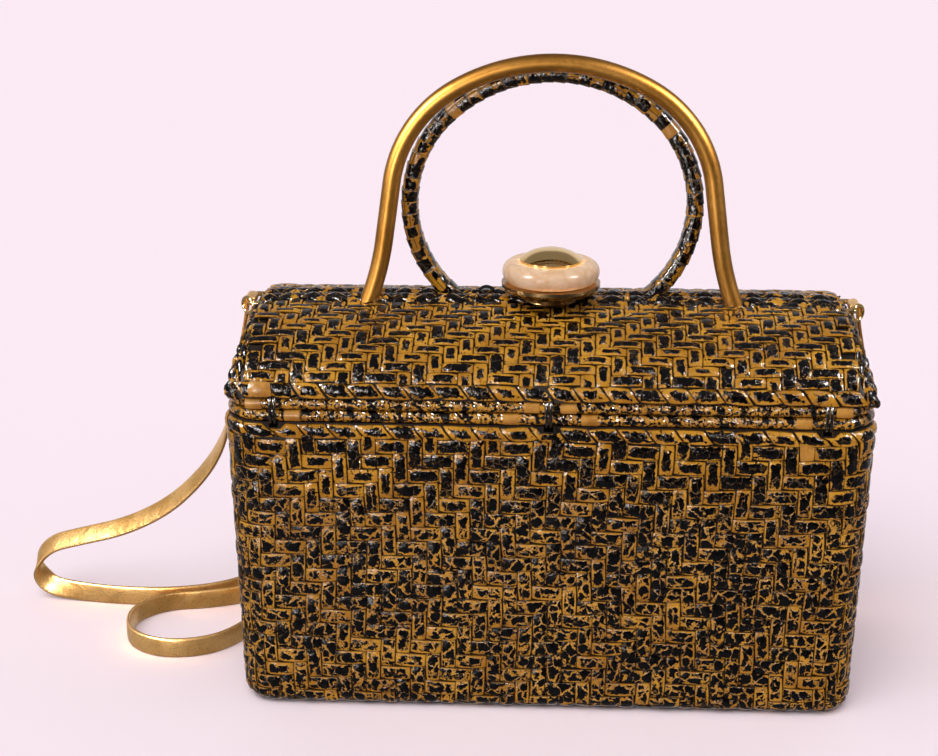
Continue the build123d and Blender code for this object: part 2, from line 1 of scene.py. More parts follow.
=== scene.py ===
# %% [markdown]
# # A woven cane handbag
# A basket with straight sides and a domed top that is split along its ridge. The weave is a
# twill of flat canes, brushed with black lacquer so that each crossing shows a black patch in
# an ochre edge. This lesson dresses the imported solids: the weave is laid flat, crossing by
# crossing, and then wrapped round the basket, and the smooth metal parts keep their solids.

# %% Load the fixed frame
import math
import random

import bmesh
import bpy
from mathutils import Matrix, Vector


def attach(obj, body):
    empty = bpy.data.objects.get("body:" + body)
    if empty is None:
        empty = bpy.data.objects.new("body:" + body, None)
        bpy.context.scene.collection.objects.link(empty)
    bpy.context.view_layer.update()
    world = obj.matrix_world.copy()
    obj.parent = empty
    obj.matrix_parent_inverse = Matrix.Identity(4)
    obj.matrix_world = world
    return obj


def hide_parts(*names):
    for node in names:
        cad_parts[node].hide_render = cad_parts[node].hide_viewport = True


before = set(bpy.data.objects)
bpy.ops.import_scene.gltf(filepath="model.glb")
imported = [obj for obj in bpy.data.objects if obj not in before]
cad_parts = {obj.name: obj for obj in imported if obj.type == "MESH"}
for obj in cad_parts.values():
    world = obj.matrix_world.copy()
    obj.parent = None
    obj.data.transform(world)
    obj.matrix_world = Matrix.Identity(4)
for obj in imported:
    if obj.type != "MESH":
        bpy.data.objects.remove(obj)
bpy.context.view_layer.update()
mm = 0.001
scene = bpy.context.scene

# %% [markdown]
# ## Camera
# The bag was seen from a little above its rim, nearly straight on and turned a few degrees to
# the left. A lens of 68 mm at 0.77 m gives the same narrowing of the far edge.

# %% Camera
camera_data = bpy.data.cameras.new("view")
camera_data.lens = 68.3
camera_data.sensor_width = 36.0
camera_data.sensor_fit = "HORIZONTAL"
camera_data.clip_start = 0.01
camera = bpy.data.objects.new("view", camera_data)
camera.location = (0.0, -0.770, 0.400)
camera.rotation_euler = (math.radians(90 - 18.72), 0.0, math.radians(2.73))
scene.collection.objects.link(camera)
scene.camera = camera
scene.view_settings.view_transform = "Standard"
print("camera lens", camera_data.lens)

# %% [markdown]
# ## Node helpers
# Every finish below is a small graph of shader nodes. These helpers add a node, set its plain
# sockets and link the others, so that a finish reads from top to bottom.


# %% Node helpers
def feed(tree, socket, value):
    """Links a socket to another one, or sets it to a plain value."""
    if isinstance(value, bpy.types.NodeSocket):
        tree.links.new(value, socket)
    elif value is not None:
        socket.default_value = value


def add_node(tree, kind, **values):
    """Adds a node; each value is a setting of the node or an input, by its name or as in0, in1, in2."""
    node = tree.nodes.new(kind)
    for key, value in values.items():
        if hasattr(node, key) and key.islower():
            setattr(node, key, value)
        elif key.startswith("in"):
            feed(tree, node.inputs[int(key[2:])], value)
        else:
            feed(tree, node.inputs[key], value)
    return node


def sum_up(tree, operation, first, second=None, third=None):
    """One Math node, with numbers or sockets as its inputs."""
    node = add_node(tree, "ShaderNodeMath", operation=operation)
    for socket, value in zip(node.inputs, (first, second, third)):
        feed(tree, socket, value)
    return node.outputs[0]


def blend_colour(tree, share, first, second):
    """A colour between two others."""
    node = add_node(tree, "ShaderNodeMix", data_type="RGBA")
    for number, value in ((0, share), (6, first), (7, second)):
        feed(tree, node.inputs[number], value)
    return node.outputs[2]


def blend_number(tree, share, first, second):
    """A number between two others."""
    node = tree.nodes.new("ShaderNodeMix")
    for number, value in ((0, share), (2, first), (3, second)):
        feed(tree, node.inputs[number], value)
    return node.outputs[0]


def between(tree, value, low, high, to_low=0.0, to_high=1.0):
    """A smooth step from one range to another."""
    node = add_node(tree, "ShaderNodeMapRange", interpolation_type="SMOOTHSTEP")
    for socket, number in zip(node.inputs, (value, low, high, to_low, to_high)):
        feed(tree, socket, number)
    return node.outputs[0]


def grain(tree, place, scale, detail=2.0, roughness=0.5, distortion=0.0):
    """One noise pattern on a place."""
    node = add_node(
        tree, "ShaderNodeTexNoise",
        Vector=place, Scale=scale, Detail=detail, Roughness=roughness, Distortion=distortion,
    )
    return node.outputs[0]


def rgb(red, green, blue):
    """A colour as it is seen on screen, turned into the linear light that a shader takes."""
    return tuple(
        (c / 255 / 12.92) if c <= 10 else ((c / 255 + 0.055) / 1.055) ** 2.4
        for c in (red, green, blue)
    ) + (1.0,)


def new_finish(name):
    """A material with an empty surface shader, and the place on the object that patterns read."""
    material = bpy.data.materials.new(name)
    material.use_nodes = True
    tree = material.node_tree
    shader = tree.nodes["Principled BSDF"]
    place = tree.nodes.new("ShaderNodeTexCoord").outputs["Object"]
    return material, tree, shader, place


def set_surface(tree, shader, values):
    """Feeds sockets of a surface shader, by their names."""
    for name, value in values.items():
        feed(tree, shader.inputs[name], value)


def emboss(tree, shader, height, strength, distance):
    """Shows a height as fine relief on a surface."""
    bump = add_node(tree, "ShaderNodeBump", Height=height, Strength=strength, Distance=distance)
    tree.links.new(bump.outputs[0], shader.inputs["Normal"])


# %% [markdown]
# ## Floor and light
# A pale floor fills the whole view, because the camera looks down. A broad soft sun and the
# world give a plain level of light, and three small lamps put the bright specks on the lacquer.
# Mirrors see the lamps, but neither the sun nor the floor. The world is darker behind the
# viewer, and in mirrors it is darker all round except for a strip on its far side, so that gold
# and lacquer keep their contrast.

# %% Floor and light
floor_mesh = bmesh.new()
bmesh.ops.create_grid(floor_mesh, x_segments=8, y_segments=8, size=14.0)
floor_data = bpy.data.meshes.new("floor")
floor_mesh.to_mesh(floor_data)
floor_mesh.free()
floor = bpy.data.objects.new("floor", floor_data)
scene.collection.objects.link(floor)
floor.visible_glossy = False
floor_finish, tree, shader, place = new_finish("floor_paper")
set_surface(
    tree, shader, {"Base Color": rgb(247, 233, 240), "Roughness": 0.9, "Specular IOR Level": 0.0}
)
floor_data.materials.append(floor_finish)

world = bpy.data.worlds.new("studio")
scene.world = world
world.use_nodes = True
sky = world.node_tree
backdrop = sky.nodes["Background"]
backdrop.inputs["Color"].default_value = rgb(252, 246, 250)
look = sky.nodes.new("ShaderNodeTexCoord").outputs["Generated"]
look = add_node(sky, "ShaderNodeSeparateXYZ", Vector=look)
look_away, look_up = look.outputs[1], look.outputs[2]
behind = between(sky, look_away, -0.90, -0.20, 1.0, 0.0)
behind = sum_up(sky, "MULTIPLY", behind, between(sky, look_up, 0.25, 0.62, 1.0, 0.0))
behind = sum_up(sky, "MULTIPLY", behind, between(sky, look_up, -0.52, -0.36))
strength = sum_up(sky, "MULTIPLY_ADD", behind, -0.53, 0.60)
mirrored = sky.nodes.new("ShaderNodeLightPath").outputs["Is Glossy Ray"]
strength = sum_up(sky, "MULTIPLY", strength, sum_up(sky, "MULTIPLY_ADD", mirrored, -0.55, 1.0))
far_strip = between(sky, look_up, 0.40, 0.58, 0.55, 0.0)
far_wall = sum_up(sky, "MULTIPLY", between(sky, look_away, 0.45, 0.80), far_strip)
strength = sum_up(sky, "MULTIPLY_ADD", far_wall, mirrored, strength)
sky.links.new(strength, backdrop.inputs["Strength"])


def lamp(name, kind, energy, place, aim, **values):
    """One lamp, aimed at a point."""
    data = bpy.data.lights.new(name, kind)
    data.energy = energy
    for key, value in values.items():
        setattr(data, key, value)
    obj = bpy.data.objects.new(name, data)
    obj.location = place
    obj.rotation_euler = (Vector(aim) - Vector(place)).to_track_quat("-Z", "Y").to_euler()
    scene.collection.objects.link(obj)
    return obj


sun = lamp("soft_sun", "SUN", 1.85, (-0.5, -1.25, 2.1), (0.0, 0.0, 0.1), angle=math.radians(50))
sun.visible_glossy = False
bag_middle = (0.0, 0.0, 0.14)
for name, energy, place in (
    ("left_glint", 62.0, (-0.9, -0.55, 0.75)),
    ("right_glint", 54.0, (0.85, -0.45, 0.85)),
    ("low_glint", 13.0, (-0.42, -0.95, 0.26)),
):
    glint = lamp(name, "AREA", energy, place, bag_middle, shape="RECTANGLE", size=0.16, size_y=0.34)
    glint.visible_diffuse = False
    glint.data.color = (1.0, 0.92, 0.88)
print("lamps set")

# %% [markdown]
# ## The strap's line
# The shoulder strap is a free cord, so its route comes first: the same points as the solid's,
# as control points of one NURBS curve. Blender turns the curve into a fine line of points, and
# every ring of the strap is set on one of them.

# %% Strap route
strap_route = [
    (-141.95, 9.5, 151.06), (-145.1, 9.5, 137.5), (-148.5, 12.5, 118.0), (-155.5, 18.0, 97.0),
    (-167.0, 23.5, 79.0), (-185.0, 29.0, 60.5), (-209.0, 35.5, 46.0), (-235.0, 42.5, 37.0),
    (-252.0, 47.5, 30.5), (-261.0, 50.0, 18.5), (-255.0, 49.0, 6.5), (-238.0, 46.0, 5.0),
    (-214.0, 42.0, 5.0), (-188.0, 42.5, 5.0), (-165.0, 50.0, 5.0), (-150.0, 64.0, 5.0),
    (-140.0, 85.0, 5.0), (-122.0, 107.0, 5.0), (-94.0, 121.0, 5.0), (-64.0, 124.0, 5.0),
    (-44.0, 116.0, 5.0), (-37.0, 102.0, 5.0), (-44.0, 88.0, 5.0), (-64.0, 81.0, 5.0),
    (-96.0, 81.5, 5.0), (-124.0, 76.0, 5.0), (-141.0, 62.0, 5.0), (-152.0, 47.5, 5.0),
    (-170.0, 40.0, 5.0), (-192.0, 36.5, 5.0), (-206.0, 20.0, 5.0), (-202.0, -3.0, 5.0),
    (-184.0, -15.0, 5.0), (-161.0, -11.0, 5.0), (-147.0, 5.0, 5.0), (-140.5, 28.0, 5.0),
    (-138.0, 48.0, 5.0), (-128.0, 63.0, 5.0), (-104.0, 66.5, 5.0), (-60.0, 68.0, 5.0),
    (-10.0, 69.0, 5.0), (40.0, 68.5, 5.0), (86.0, 67.0, 5.0), (118.0, 64.5, 5.5),
    (136.0, 58.0, 8.5), (145.0, 49.0, 22.0), (148.0, 40.0, 43.0), (149.0, 31.0, 67.0),
    (149.0, 22.0, 92.0), (147.5, 13.5, 117.0), (145.1, 9.5, 137.5), (141.95, 9.5, 151.06),
]


def nurbs_line(name, points, fineness=12):
    """The points of one smooth curve through a route, as Blender works them out."""
    curve = bpy.data.curves.new(name, "CURVE")
    curve.dimensions = "3D"
    curve.resolution_u = fineness
    spline = curve.splines.new("NURBS")
    spline.points.add(len(points) - 1)
    for knot, place in zip(spline.points, points):
        knot.co = (place[0] * mm, place[1] * mm, place[2] * mm, 1.0)
    spline.order_u = 3
    spline.use_endpoint_u = True
    holder = bpy.data.objects.new(name, curve)
    scene.collection.objects.link(holder)
    bpy.context.view_layer.update()
    graph = bpy.context.evaluated_depsgraph_get()
    line = bpy.data.meshes.new_from_object(holder.evaluated_get(graph))
    places = [v.co.copy() for v in line.vertices]
    bpy.data.objects.remove(holder)
    bpy.data.curves.remove(curve)
    bpy.data.meshes.remove(line)
    return places


strap_line = nurbs_line("strap_line", strap_route)
strap_length = sum((b - a).length for a, b in zip(strap_line, strap_line[1:]))
print("strap line:", len(strap_line), "points,", round(strap_length, 4), "m")


# %% [markdown]
# ## From a bmesh to a piece
# Each new piece goes through the same door: its mesh is written, shaded smooth, given its
# finish, and tied to the CAD body that it moves with.


# %% Piece helpers
def close_up(bm, gap, sides=0):
    """Welds points nearer than a gap, fills open ends of up to so many sides, turns faces outward."""
    bmesh.ops.remove_doubles(bm, verts=bm.verts[:], dist=gap)
    if sides:
        bmesh.ops.holes_fill(bm, edges=[e for e in bm.edges if e.is_boundary], sides=sides)
    bmesh.ops.recalc_face_normals(bm, faces=bm.faces[:])


def make_piece(name, bm, finish, body, stands_for=(), crease=None):
    """Writes a bmesh as an object that rides on a body; a crease angle keeps sharper edges."""
    data = bpy.data.meshes.new(name)
    bm.to_mesh(data)
    bm.free()
    data.shade_smooth()
    if crease is not None:
        data.set_sharp_from_angle(angle=math.radians(crease))
    for coat in finish if isinstance(finish, list) else [finish]:
        data.materials.append(coat)
    obj = bpy.data.objects.new(name, data)
    scene.collection.objects.link(obj)
    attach(obj, body)
    if stands_for:
        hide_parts(*stands_for)
    data.calc_loop_triangles()
    print(name, len(data.loop_triangles), "triangles")
    return obj


# %% [markdown]
# ## Gold leather strap
# The strap is a narrow gold leather band with a row of stitches along each edge. It hangs flat
# from its ring, shows its face as it comes down, and lies on its edge on the floor, so its width
# turns twice. A grid is bent into a flat sleeve round the line, and its seam is welded.

# %% Strap sleeve
strap_width = 10.0 * mm
strap_thickness = 2.2 * mm
sleeve_sides = 12


def running_length(line):
    """The distance from the start at each point of a line."""
    total = [0.0]
    for a, b in zip(line, line[1:]):
        total.append(total[-1] + (b - a).length)
    return total


def tangents(line):
    """The direction of travel at each point of a line."""
    last = len(line) - 1
    return [(line[min(i + 1, last)] - line[max(i - 1, 0)]).normalized() for i in range(len(line))]


def smooth_step(value, low, high):
    """0 below a range, 1 above it, and a soft change between."""
    share = min(1.0, max(0.0, (value - low) / (high - low)))
    return share * share * (3 - 2 * share)


strap_travel = running_length(strap_line)
strap_heading = tangents(strap_line)
turn_start = min(range(len(strap_line)), key=lambda i: strap_line[i].x)
rise_start = max(i for i, p in enumerate(strap_line) if p.z < 0.0075)
turned_at, rises_at = strap_travel[turn_start], strap_travel[rise_start]
strap_across = []
for travel, heading in zip(strap_travel, strap_heading):
    upright = 0.5 * smooth_step(travel, 0.010, 0.060)
    upright += 0.5 * smooth_step(travel, turned_at - 0.012, turned_at + 0.050)
    upright *= 1 - smooth_step(travel, rises_at - 0.030, rises_at + 0.045)
    lean = Vector((0.0, 1.0 - upright, upright))
    strap_across.append((lean - heading * lean.dot(heading)).normalized())


def flat_band(line, across, width, thickness, run_share=1.0):
    """A flat band along a line: a grid bent into a sleeve, welded and closed at both ends."""
    bm = bmesh.new()
    uv = bm.loops.layers.uv.new("strap")
    last = len(line) - 1
    bmesh.ops.create_grid(bm, x_segments=last, y_segments=sleeve_sides, size=0.5, calc_uvs=True)
    for loop in [l for f in bm.faces for l in f.loops]:
        loop[uv].uv.x *= run_share
    heading = tangents(line)
    for vert in bm.verts:
        ring = round((vert.co.x + 0.5) * last)
        angle = -2 * math.pi * (vert.co.y + 0.5)
        through = heading[ring].cross(across[ring])
        wide = math.copysign(abs(math.cos(angle)) ** 0.45, math.cos(angle)) * width / 2
        thick = math.copysign(abs(math.sin(angle)) ** 0.6, math.sin(angle)) * thickness / 2
        vert.co = line[ring] + across[ring] * wide + through * thick
    close_up(bm, 1e-6, sleeve_sides)
    return bm


strap_bm = flat_band(strap_line, strap_across, strap_width, strap_thickness)


# %% [markdown]
# ## Finishes for gold and leather
# The strap is leather under a gold foil: metallic, a little rough, with fine pebbling and a
# stitched line near each edge. The stitches follow the sleeve's own UV map.

# %% Gold leather finish
stitch_length = 0.0032
gold_leather, tree, shader, place = new_finish("gold_leather")
uv = add_node(tree, "ShaderNodeUVMap", uv_map="strap").outputs[0]
split = add_node(tree, "ShaderNodeSeparateXYZ", Vector=uv)
along = sum_up(tree, "MULTIPLY", split.outputs[0], strap_length / stitch_length)
round_band = sum_up(tree, "FRACT", sum_up(tree, "MULTIPLY", split.outputs[1], 2.0))
edge_near = sum_up(tree, "ABSOLUTE", sum_up(tree, "SUBTRACT", round_band, 0.5))
stitch_row = sum_up(tree, "ABSOLUTE", sum_up(tree, "SUBTRACT", edge_near, 0.285))
stitch_line = between(tree, stitch_row, 0.015, 0.035, 1.0, 0.0)
stitch_step = sum_up(tree, "SUBTRACT", sum_up(tree, "FRACT", along), 0.5)
stitch_step = sum_up(tree, "ABSOLUTE", stitch_step)
stitch = sum_up(tree, "MULTIPLY", stitch_line, between(tree, stitch_step, 0.30, 0.40, 1.0, 0.0))
pebble = grain(tree, place, 1500.0, 3.0, 0.6)
patch = grain(tree, place, 60.0, 3.0, 0.55)
foil = blend_colour(tree, between(tree, patch, 0.35, 0.65), rgb(196, 150, 80), rgb(222, 178, 110))
worn = blend_colour(tree, between(tree, edge_near, 0.40, 0.49), foil, rgb(150, 106, 50))
set_surface(tree, shader, {
    "Base Color": blend_colour(tree, stitch, worn, rgb(226, 190, 128)),
    "Metallic": 0.6,
    "Roughness": between(tree, pebble, 0.3, 0.7, 0.26, 0.40),
})
crease = grain(tree, place, 190.0, 2.0, 0.5, 0.6)
height = sum_up(tree, "MULTIPLY_ADD", pebble, 0.25, sum_up(tree, "MULTIPLY", stitch, 0.8))
height = sum_up(tree, "MULTIPLY_ADD", crease, 2.2, height)
height = sum_up(tree, "SUBTRACT", height, sum_up(tree, "MULTIPLY", stitch_line, 0.5))
emboss(tree, shader, height, 0.35, 0.0004)

strap = make_piece("strap_band", strap_bm, gold_leather, "basket", ["shoulder_strap"])
ends = ((-1, "left"), (1, "right"))
fold_thickness = 1.15 * mm
for end, name in ends:
    root, hook = Vector((end * 141.95, 9.5, 151.06)), Vector((end * 137.0, 9.5, 172.5))
    up = (hook - root).normalized()
    out = Vector((end * up.z, 0, -end * up.x))
    # up on the outside, over the fitting and down on the inside
    fold = [
        root - up + out * 0.62, root + up * 8 + out * 0.62, hook - up * 5 + out, hook - up + out * 2,
        hook + up * 2 + out * 2, hook + up * 2 - out * 2, hook - up - out * 2, hook - up * 5 - out,
        root + up * 8 - out * 0.62, root + up * 3 - out * 0.62,
    ]
    fold_line = nurbs_line("fold_line", fold, 8)
    fold_across = [Vector((0, 1, 0))] * len(fold_line)
    fold_bm = flat_band(fold_line, fold_across, strap_width, fold_thickness, 0.04)
    make_piece(
            f"{name}_strap_fold", fold_bm, gold_leather, "basket", [f"strap_end_{name}"]
        )
tuple(strap_line[0])

# %% [markdown]
# ## Lacquered cane
# The look of this bag is its paint: black lacquer brushed over the tops of the canes. It stays
# off their edges, breaks into flakes low on the basket, and is fullest on the lid. The group
# below works that out once, from each cane's own UV map and from the place on the basket, and
# every woven finish uses it with its own numbers.


# %% Lacquer group
def lacquer_group():
    """A node group: where black lacquer lies on a cane, its colour, gloss and height."""
    group = bpy.data.node_groups.new("brushed_lacquer", "ShaderNodeTree")
    for name, kind, value in (
        ("Place", "NodeSocketVector", None),
        ("Cane", "NodeSocketVector", None),
        ("Patch", "NodeSocketFloat", 1.0),
        ("Ragged", "NodeSocketFloat", 0.5),
        ("Cracks", "NodeSocketFloat", 0.3),
        ("Flecks", "NodeSocketFloat", 0.2),
        ("Chance", "NodeSocketFloat", 0.5),
    ):
        socket = group.interface.new_socket(name, in_out="INPUT", socket_type=kind)
        if value is not None:
            socket.default_value = value
    for name, kind in (
        ("Color", "NodeSocketColor"),
        ("Black", "NodeSocketFloat"),
        ("Roughness", "NodeSocketFloat"),
        ("Height", "NodeSocketFloat"),
    ):
        group.interface.new_socket(name, in_out="OUTPUT", socket_type=kind)
    given = group.nodes.new("NodeGroupInput").outputs
    place = given["Place"]
    result = group.nodes.new("NodeGroupOutput").inputs

    cane = add_node(group, "ShaderNodeSeparateXYZ", Vector=given["Cane"])
    end_near = sum_up(group, "ABSOLUTE", sum_up(group, "MULTIPLY_ADD", cane.outputs[0], 2.0, -1.0))
    side_near = sum_up(group, "ABSOLUTE", sum_up(group, "MULTIPLY_ADD", cane.outputs[1], 2.0, -1.0))
    box = sum_up(
        group,
        "SMOOTH_MAX",
        sum_up(group, "DIVIDE", end_near, 0.88),
        sum_up(group, "DIVIDE", side_near, 0.78),
        0.15,
    )
    brush = grain(group, place, 420.0, 4.0, 0.62)
    sway = grain(group, place, 150.0, 2.0, 0.5)
    brush_reach = sum_up(group, "MULTIPLY", given["Ragged"], 2.2)
    reach = sum_up(group, "MULTIPLY_ADD", sum_up(group, "SUBTRACT", brush, 0.5), brush_reach, box)
    reach = sum_up(group, "MULTIPLY_ADD", sum_up(group, "SUBTRACT", sway, 0.5), given["Ragged"], reach)
    luck = sum_up(group, "SUBTRACT", given["Chance"], 0.5)
    patch = sum_up(group, "MULTIPLY_ADD", luck, 0.45, given["Patch"])
    painted = between(group, sum_up(group, "SUBTRACT", reach, patch), -0.05, 0.05, 1.0, 0.0)

    bent = add_node(
        group, "ShaderNodeTexNoise", Vector=place, Scale=330.0, Detail=4.0, Roughness=0.65
    )
    moved = add_node(
        group, "ShaderNodeVectorMath", operation="MULTIPLY_ADD",
        in0=bent.outputs[1], in1=(0.006, 0.006, 0.006), in2=place,
    )
    flake = add_node(
        group, "ShaderNodeTexVoronoi", feature="DISTANCE_TO_EDGE", Vector=moved.outputs[0], Scale=190.0
    )
    crack_noise = grain(group, place, 330.0, 2.0, 0.5)
    crack_width = sum_up(group, "MULTIPLY", given["Cracks"], between(group, crack_noise, 0.34, 0.60))
    flake_edge = sum_up(group, "SUBTRACT", flake.outputs["Distance"], crack_width)
    cracked = between(group, flake_edge, -0.04, 0.02)
    painted = sum_up(group, "MULTIPLY", painted, cracked)

    spatter = grain(group, place, 640.0, 3.0, 0.65)
    fleck_edge = sum_up(group, "SUBTRACT", 0.78, sum_up(group, "MULTIPLY", given["Flecks"], 0.36))
    flecks = between(group, sum_up(group, "SUBTRACT", spatter, fleck_edge), -0.02, 0.02)
    black = sum_up(group, "MAXIMUM", painted, flecks)

    tone = grain(group, place, 55.0, 3.0, 0.6)
    streak = grain(group, place, 900.0, 2.0, 0.5)
    ochre = blend_colour(group, between(group, tone, 0.35, 0.68), rgb(168, 114, 26), rgb(202, 146, 42))
    ochre = blend_colour(group, between(group, streak, 0.52, 0.75, 0.0, 0.45), ochre, rgb(104, 60, 14))
    # Painted shade: the ochre darkens to near black at a cane's ends and sides, where it dips into the
    # crevices under the next canes; partly it is the dark bare wood there.
    end_crevice_shade, side_crevice_shade = between(group, end_near, 0.91, 0.99), between(group, side_near, 0.88, 0.98)
    crevice_shade = sum_up(group, "MAXIMUM", end_crevice_shade, side_crevice_shade)
    ochre = blend_colour(group, sum_up(group, "MULTIPLY", crevice_shade, 0.85), ochre, rgb(30, 15, 5))
    ink = blend_colour(group, between(group, streak, 0.45, 0.70), rgb(3, 2, 2), rgb(12, 9, 8))
    group.links.new(blend_colour(group, black, ochre, ink), result["Color"])
    group.links.new(black, result["Black"])
    rough = between(group, streak, 0.3, 0.7, 0.10, 0.20)
    group.links.new(sum_up(group, "MULTIPLY_ADD", black, -0.03, rough), result["Roughness"])
    lumps = grain(group, place, 400.0, 3.0, 0.55)
    group.links.new(sum_up(group, "MULTIPLY_ADD", black, 0.35, lumps), result["Height"])
    return group


brushed_lacquer = lacquer_group()


worn_levels = (0.082, 0.122)


def cane_finish(name, high, low=None):
    """A lacquered cane; high has patch, ragged, cracks and flecks, and low the same near the floor."""
    material, tree, shader, place = new_finish(name)
    uv = add_node(tree, "ShaderNodeUVMap", uv_map="cane").outputs[0]
    chance = add_node(tree, "ShaderNodeAttribute", attribute_name="chance").outputs["Fac"]
    paint = add_node(
        tree, "ShaderNodeGroup", node_tree=brushed_lacquer, Place=place, Cane=uv, Chance=chance
    )
    level = add_node(tree, "ShaderNodeSeparateXYZ", Vector=place).outputs[2]
    drift = sum_up(tree, "SUBTRACT", grain(tree, place, 30.0), 0.5)
    drift = sum_up(tree, "MULTIPLY_ADD", drift, 0.06, level)
    for socket, above, below in zip(("Patch", "Ragged", "Cracks", "Flecks"), high, low or high):
        value = above if above == below else between(tree, drift, *worn_levels, below, above)
        feed(tree, paint.inputs[socket], value)
    rough = paint.outputs["Roughness"]
    if low:
        rough = sum_up(tree, "ADD", rough, between(tree, drift, *worn_levels, 0.10, 0.0))
    set_surface(tree, shader, {
        "Base Color": paint.outputs["Color"], "Roughness": rough, "Specular IOR Level": 0.24
    })
    emboss(tree, shader, paint.outputs["Height"], 0.75, 0.0007)
    return material


basket_cane = cane_finish("basket_cane", (0.88, 0.68, 0.0, 0.44), (1.10, 0.60, 0.095, 0.34))
lid_cane = cane_finish("lid_cane", (0.80, 0.62, 0.0, 0.40))
braid_cane = cane_finish("braid_cane", (0.80, 0.70, 0.0, 0.42))
plain_cane, tree, shader, place = new_finish("plain_cane")
tone = grain(tree, place, 160.0, 3.0, 0.6)
fibre = grain(tree, place, 1400.0, 2.0, 0.5)
tan = blend_colour(tree, between(tree, tone, 0.3, 0.7), rgb(160, 106, 32), rgb(196, 142, 58))
tan = blend_colour(tree, between(tree, fibre, 0.55, 0.75, 0.0, 0.5), tan, rgb(128, 82, 40))
rough = between(tree, fibre, 0.3, 0.7, 0.22, 0.36)
set_surface(tree, shader, {"Base Color": tan, "Roughness": rough, "Specular IOR Level": 0.2})
emboss(tree, shader, fibre, 0.3, 0.0003)
print("lacquer group has", len(brushed_lacquer.nodes), "nodes")

# %% [markdown]
# ## One repeat of the twill
# The canes go over two and under two, and each row starts one cane further on, so the pattern
# repeats every four warps and four rows. One repeat is eight visible canes: four lie across and
# four stand up. Each is a small grid, domed across, dipping at its ends, with a skirt for its
# thickness. Two Array modifiers then lay the whole mat flat, as a weaver would see it.


# %% Lay a flat mat
def add_cane(bm, centre, length, width, upright, dip, edge, shear=0.0):
    """One visible cane of the mat, face up."""
    made = bmesh.ops.create_grid(bm, x_segments=5, y_segments=4, size=1.0, calc_uvs=True)["verts"]
    for vert in made:
        p, q = vert.co.x, vert.co.y
        vert.co = (
            p * length / 2 + q * shear / 2,
            q * width / 2 * (1 - 0.10 * p**4),
            -dip * (0.25 * p**2 + 0.75 * p**4) - edge * (0.25 * q**2 + 0.75 * q**4),
        )
    border = [e for e in {e for v in made for e in v.link_edges} if e.is_boundary]
    hem = bmesh.ops.extrude_edge_only(bm, edges=border)["geom"]
    hem = [g for g in hem if isinstance(g, bmesh.types.BMVert)]
    bmesh.ops.translate(bm, verts=hem, vec=(0, 0, -0.8 * mm))
    whole = made + hem
    if upright:
        quarter_turn = Matrix.Rotation(math.pi / 2, 3, "Z")
        bmesh.ops.rotate(bm, verts=whole, cent=(0, 0, 0), matrix=quarter_turn)
    bmesh.ops.translate(bm, verts=whole, vec=(centre[0], centre[1], 0))
    return len(whole)


def flat_mat(unit, step_x, count_x, step_y, count_y):
    """Repeats a small bmesh over a plane with two Array modifiers, and returns it as a bmesh."""
    data = bpy.data.meshes.new("repeat")
    unit.to_mesh(data)
    unit.free()
    holder = bpy.data.objects.new("repeat", data)
    scene.collection.objects.link(holder)
    for count, step in ((count_x, (step_x, 0, 0)), (count_y, (0, step_y, 0))):
        array = holder.modifiers.new("lay", "ARRAY")
        array.use_relative_offset = False
        array.use_constant_offset = True
        array.constant_offset_displace = step
        array.count = count
    bpy.context.view_layer.update()
    graph = bpy.context.evaluated_depsgraph_get()
    laid = bpy.data.meshes.new_from_object(holder.evaluated_get(graph))
    mat = bmesh.new()
    mat.from_mesh(laid)
    bpy.data.objects.remove(holder)
    bpy.data.meshes.remove(data)
    bpy.data.meshes.remove(laid)
    return mat


float_length = 2.10
float_width = 0.95
float_dip = 0.85 * mm
float_edge = 0.38 * mm


def twill_mat(warp, row, repeats_x, repeats_y):
    """A flat twill mat, and the number of points in each of its canes."""
    unit = bmesh.new()
    unit.loops.layers.uv.new("cane")
    for k in range(4):
        lying, standing = ((k + 1) * warp, (k + 0.5) * row), ((k + 0.5) * warp, ((k - 2) % 4) * row)
        for centre, run, breadth, upright in ((lying, warp, row, False), (standing, row, warp, True)):
            points = add_cane(
                unit, centre, float_length * run, float_width * breadth, upright, float_dip, float_edge
            )
    return flat_mat(unit, 4 * warp, repeats_x, 4 * row, repeats_y), points


def wrap_canes(mat, points, seat, keep, seed, lively=1.0, bare=0.0):
    """Moves every cane of a flat mat to its seat, each with small faults of its own."""
    luck = random.Random(seed)
    chance = mat.verts.layers.float.new("chance")
    mat.verts.ensure_lookup_table()
    dropped = []
    for first in range(0, len(mat.verts), points):
        cane = mat.verts[first : first + points]
        centre = sum((v.co for v in cane), Vector()) / points
        draw = [luck.uniform(-1, 1) for _ in range(6)]
        if not keep(centre.x, centre.y):
            dropped.extend(cane)
            continue
        if draw[5] > 1 - 2 * bare:
            for face in {f for v in cane for f in v.link_faces}:
                face.material_index = 1
        turn = Matrix.Rotation(draw[0] * 0.035 * lively, 3, "Z")
        stretch = 0.985 + 0.015 * draw[1]
        for vert in cane:
            local = turn @ Vector(((vert.co.x - centre.x) * stretch, vert.co.y - centre.y, 0))
            tilt = local.x * draw[2] * 0.02 + local.y * draw[3] * 0.03
            out = vert.co.z + (draw[4] * 0.14 * mm + tilt) * lively
            vert[chance] = 0.5 + 0.5 * draw[5]
            vert.co = seat(centre.x + local.x, centre.y + local.y, out)
    bmesh.ops.delete(mat, geom=dropped, context="VERTS")
    return mat


# %% [markdown]
# ## The mat round the basket
# The mat's length is the basket's outline, and its height runs up from under the base, round
# the bottom edge and up the leaning wall. So a point of the mat only needs its place on the
# outline, its place on that profile, and how far it stands out.

# %% Basket wall
half_length = 140 * mm
half_depth = 60 * mm
corner = 18 * mm
wall_lean = 3.5 * mm
wall_top = 137.7 * mm
braid_bottom = 130.7 * mm
base_round = 8.0 * mm
cane_stand = 1.15 * mm
straight_x = 2 * (half_length - corner)
straight_y = 2 * (half_depth - corner)
bend = corner * math.pi / 2
outline_length = 2 * straight_x + 2 * straight_y + 4 * bend


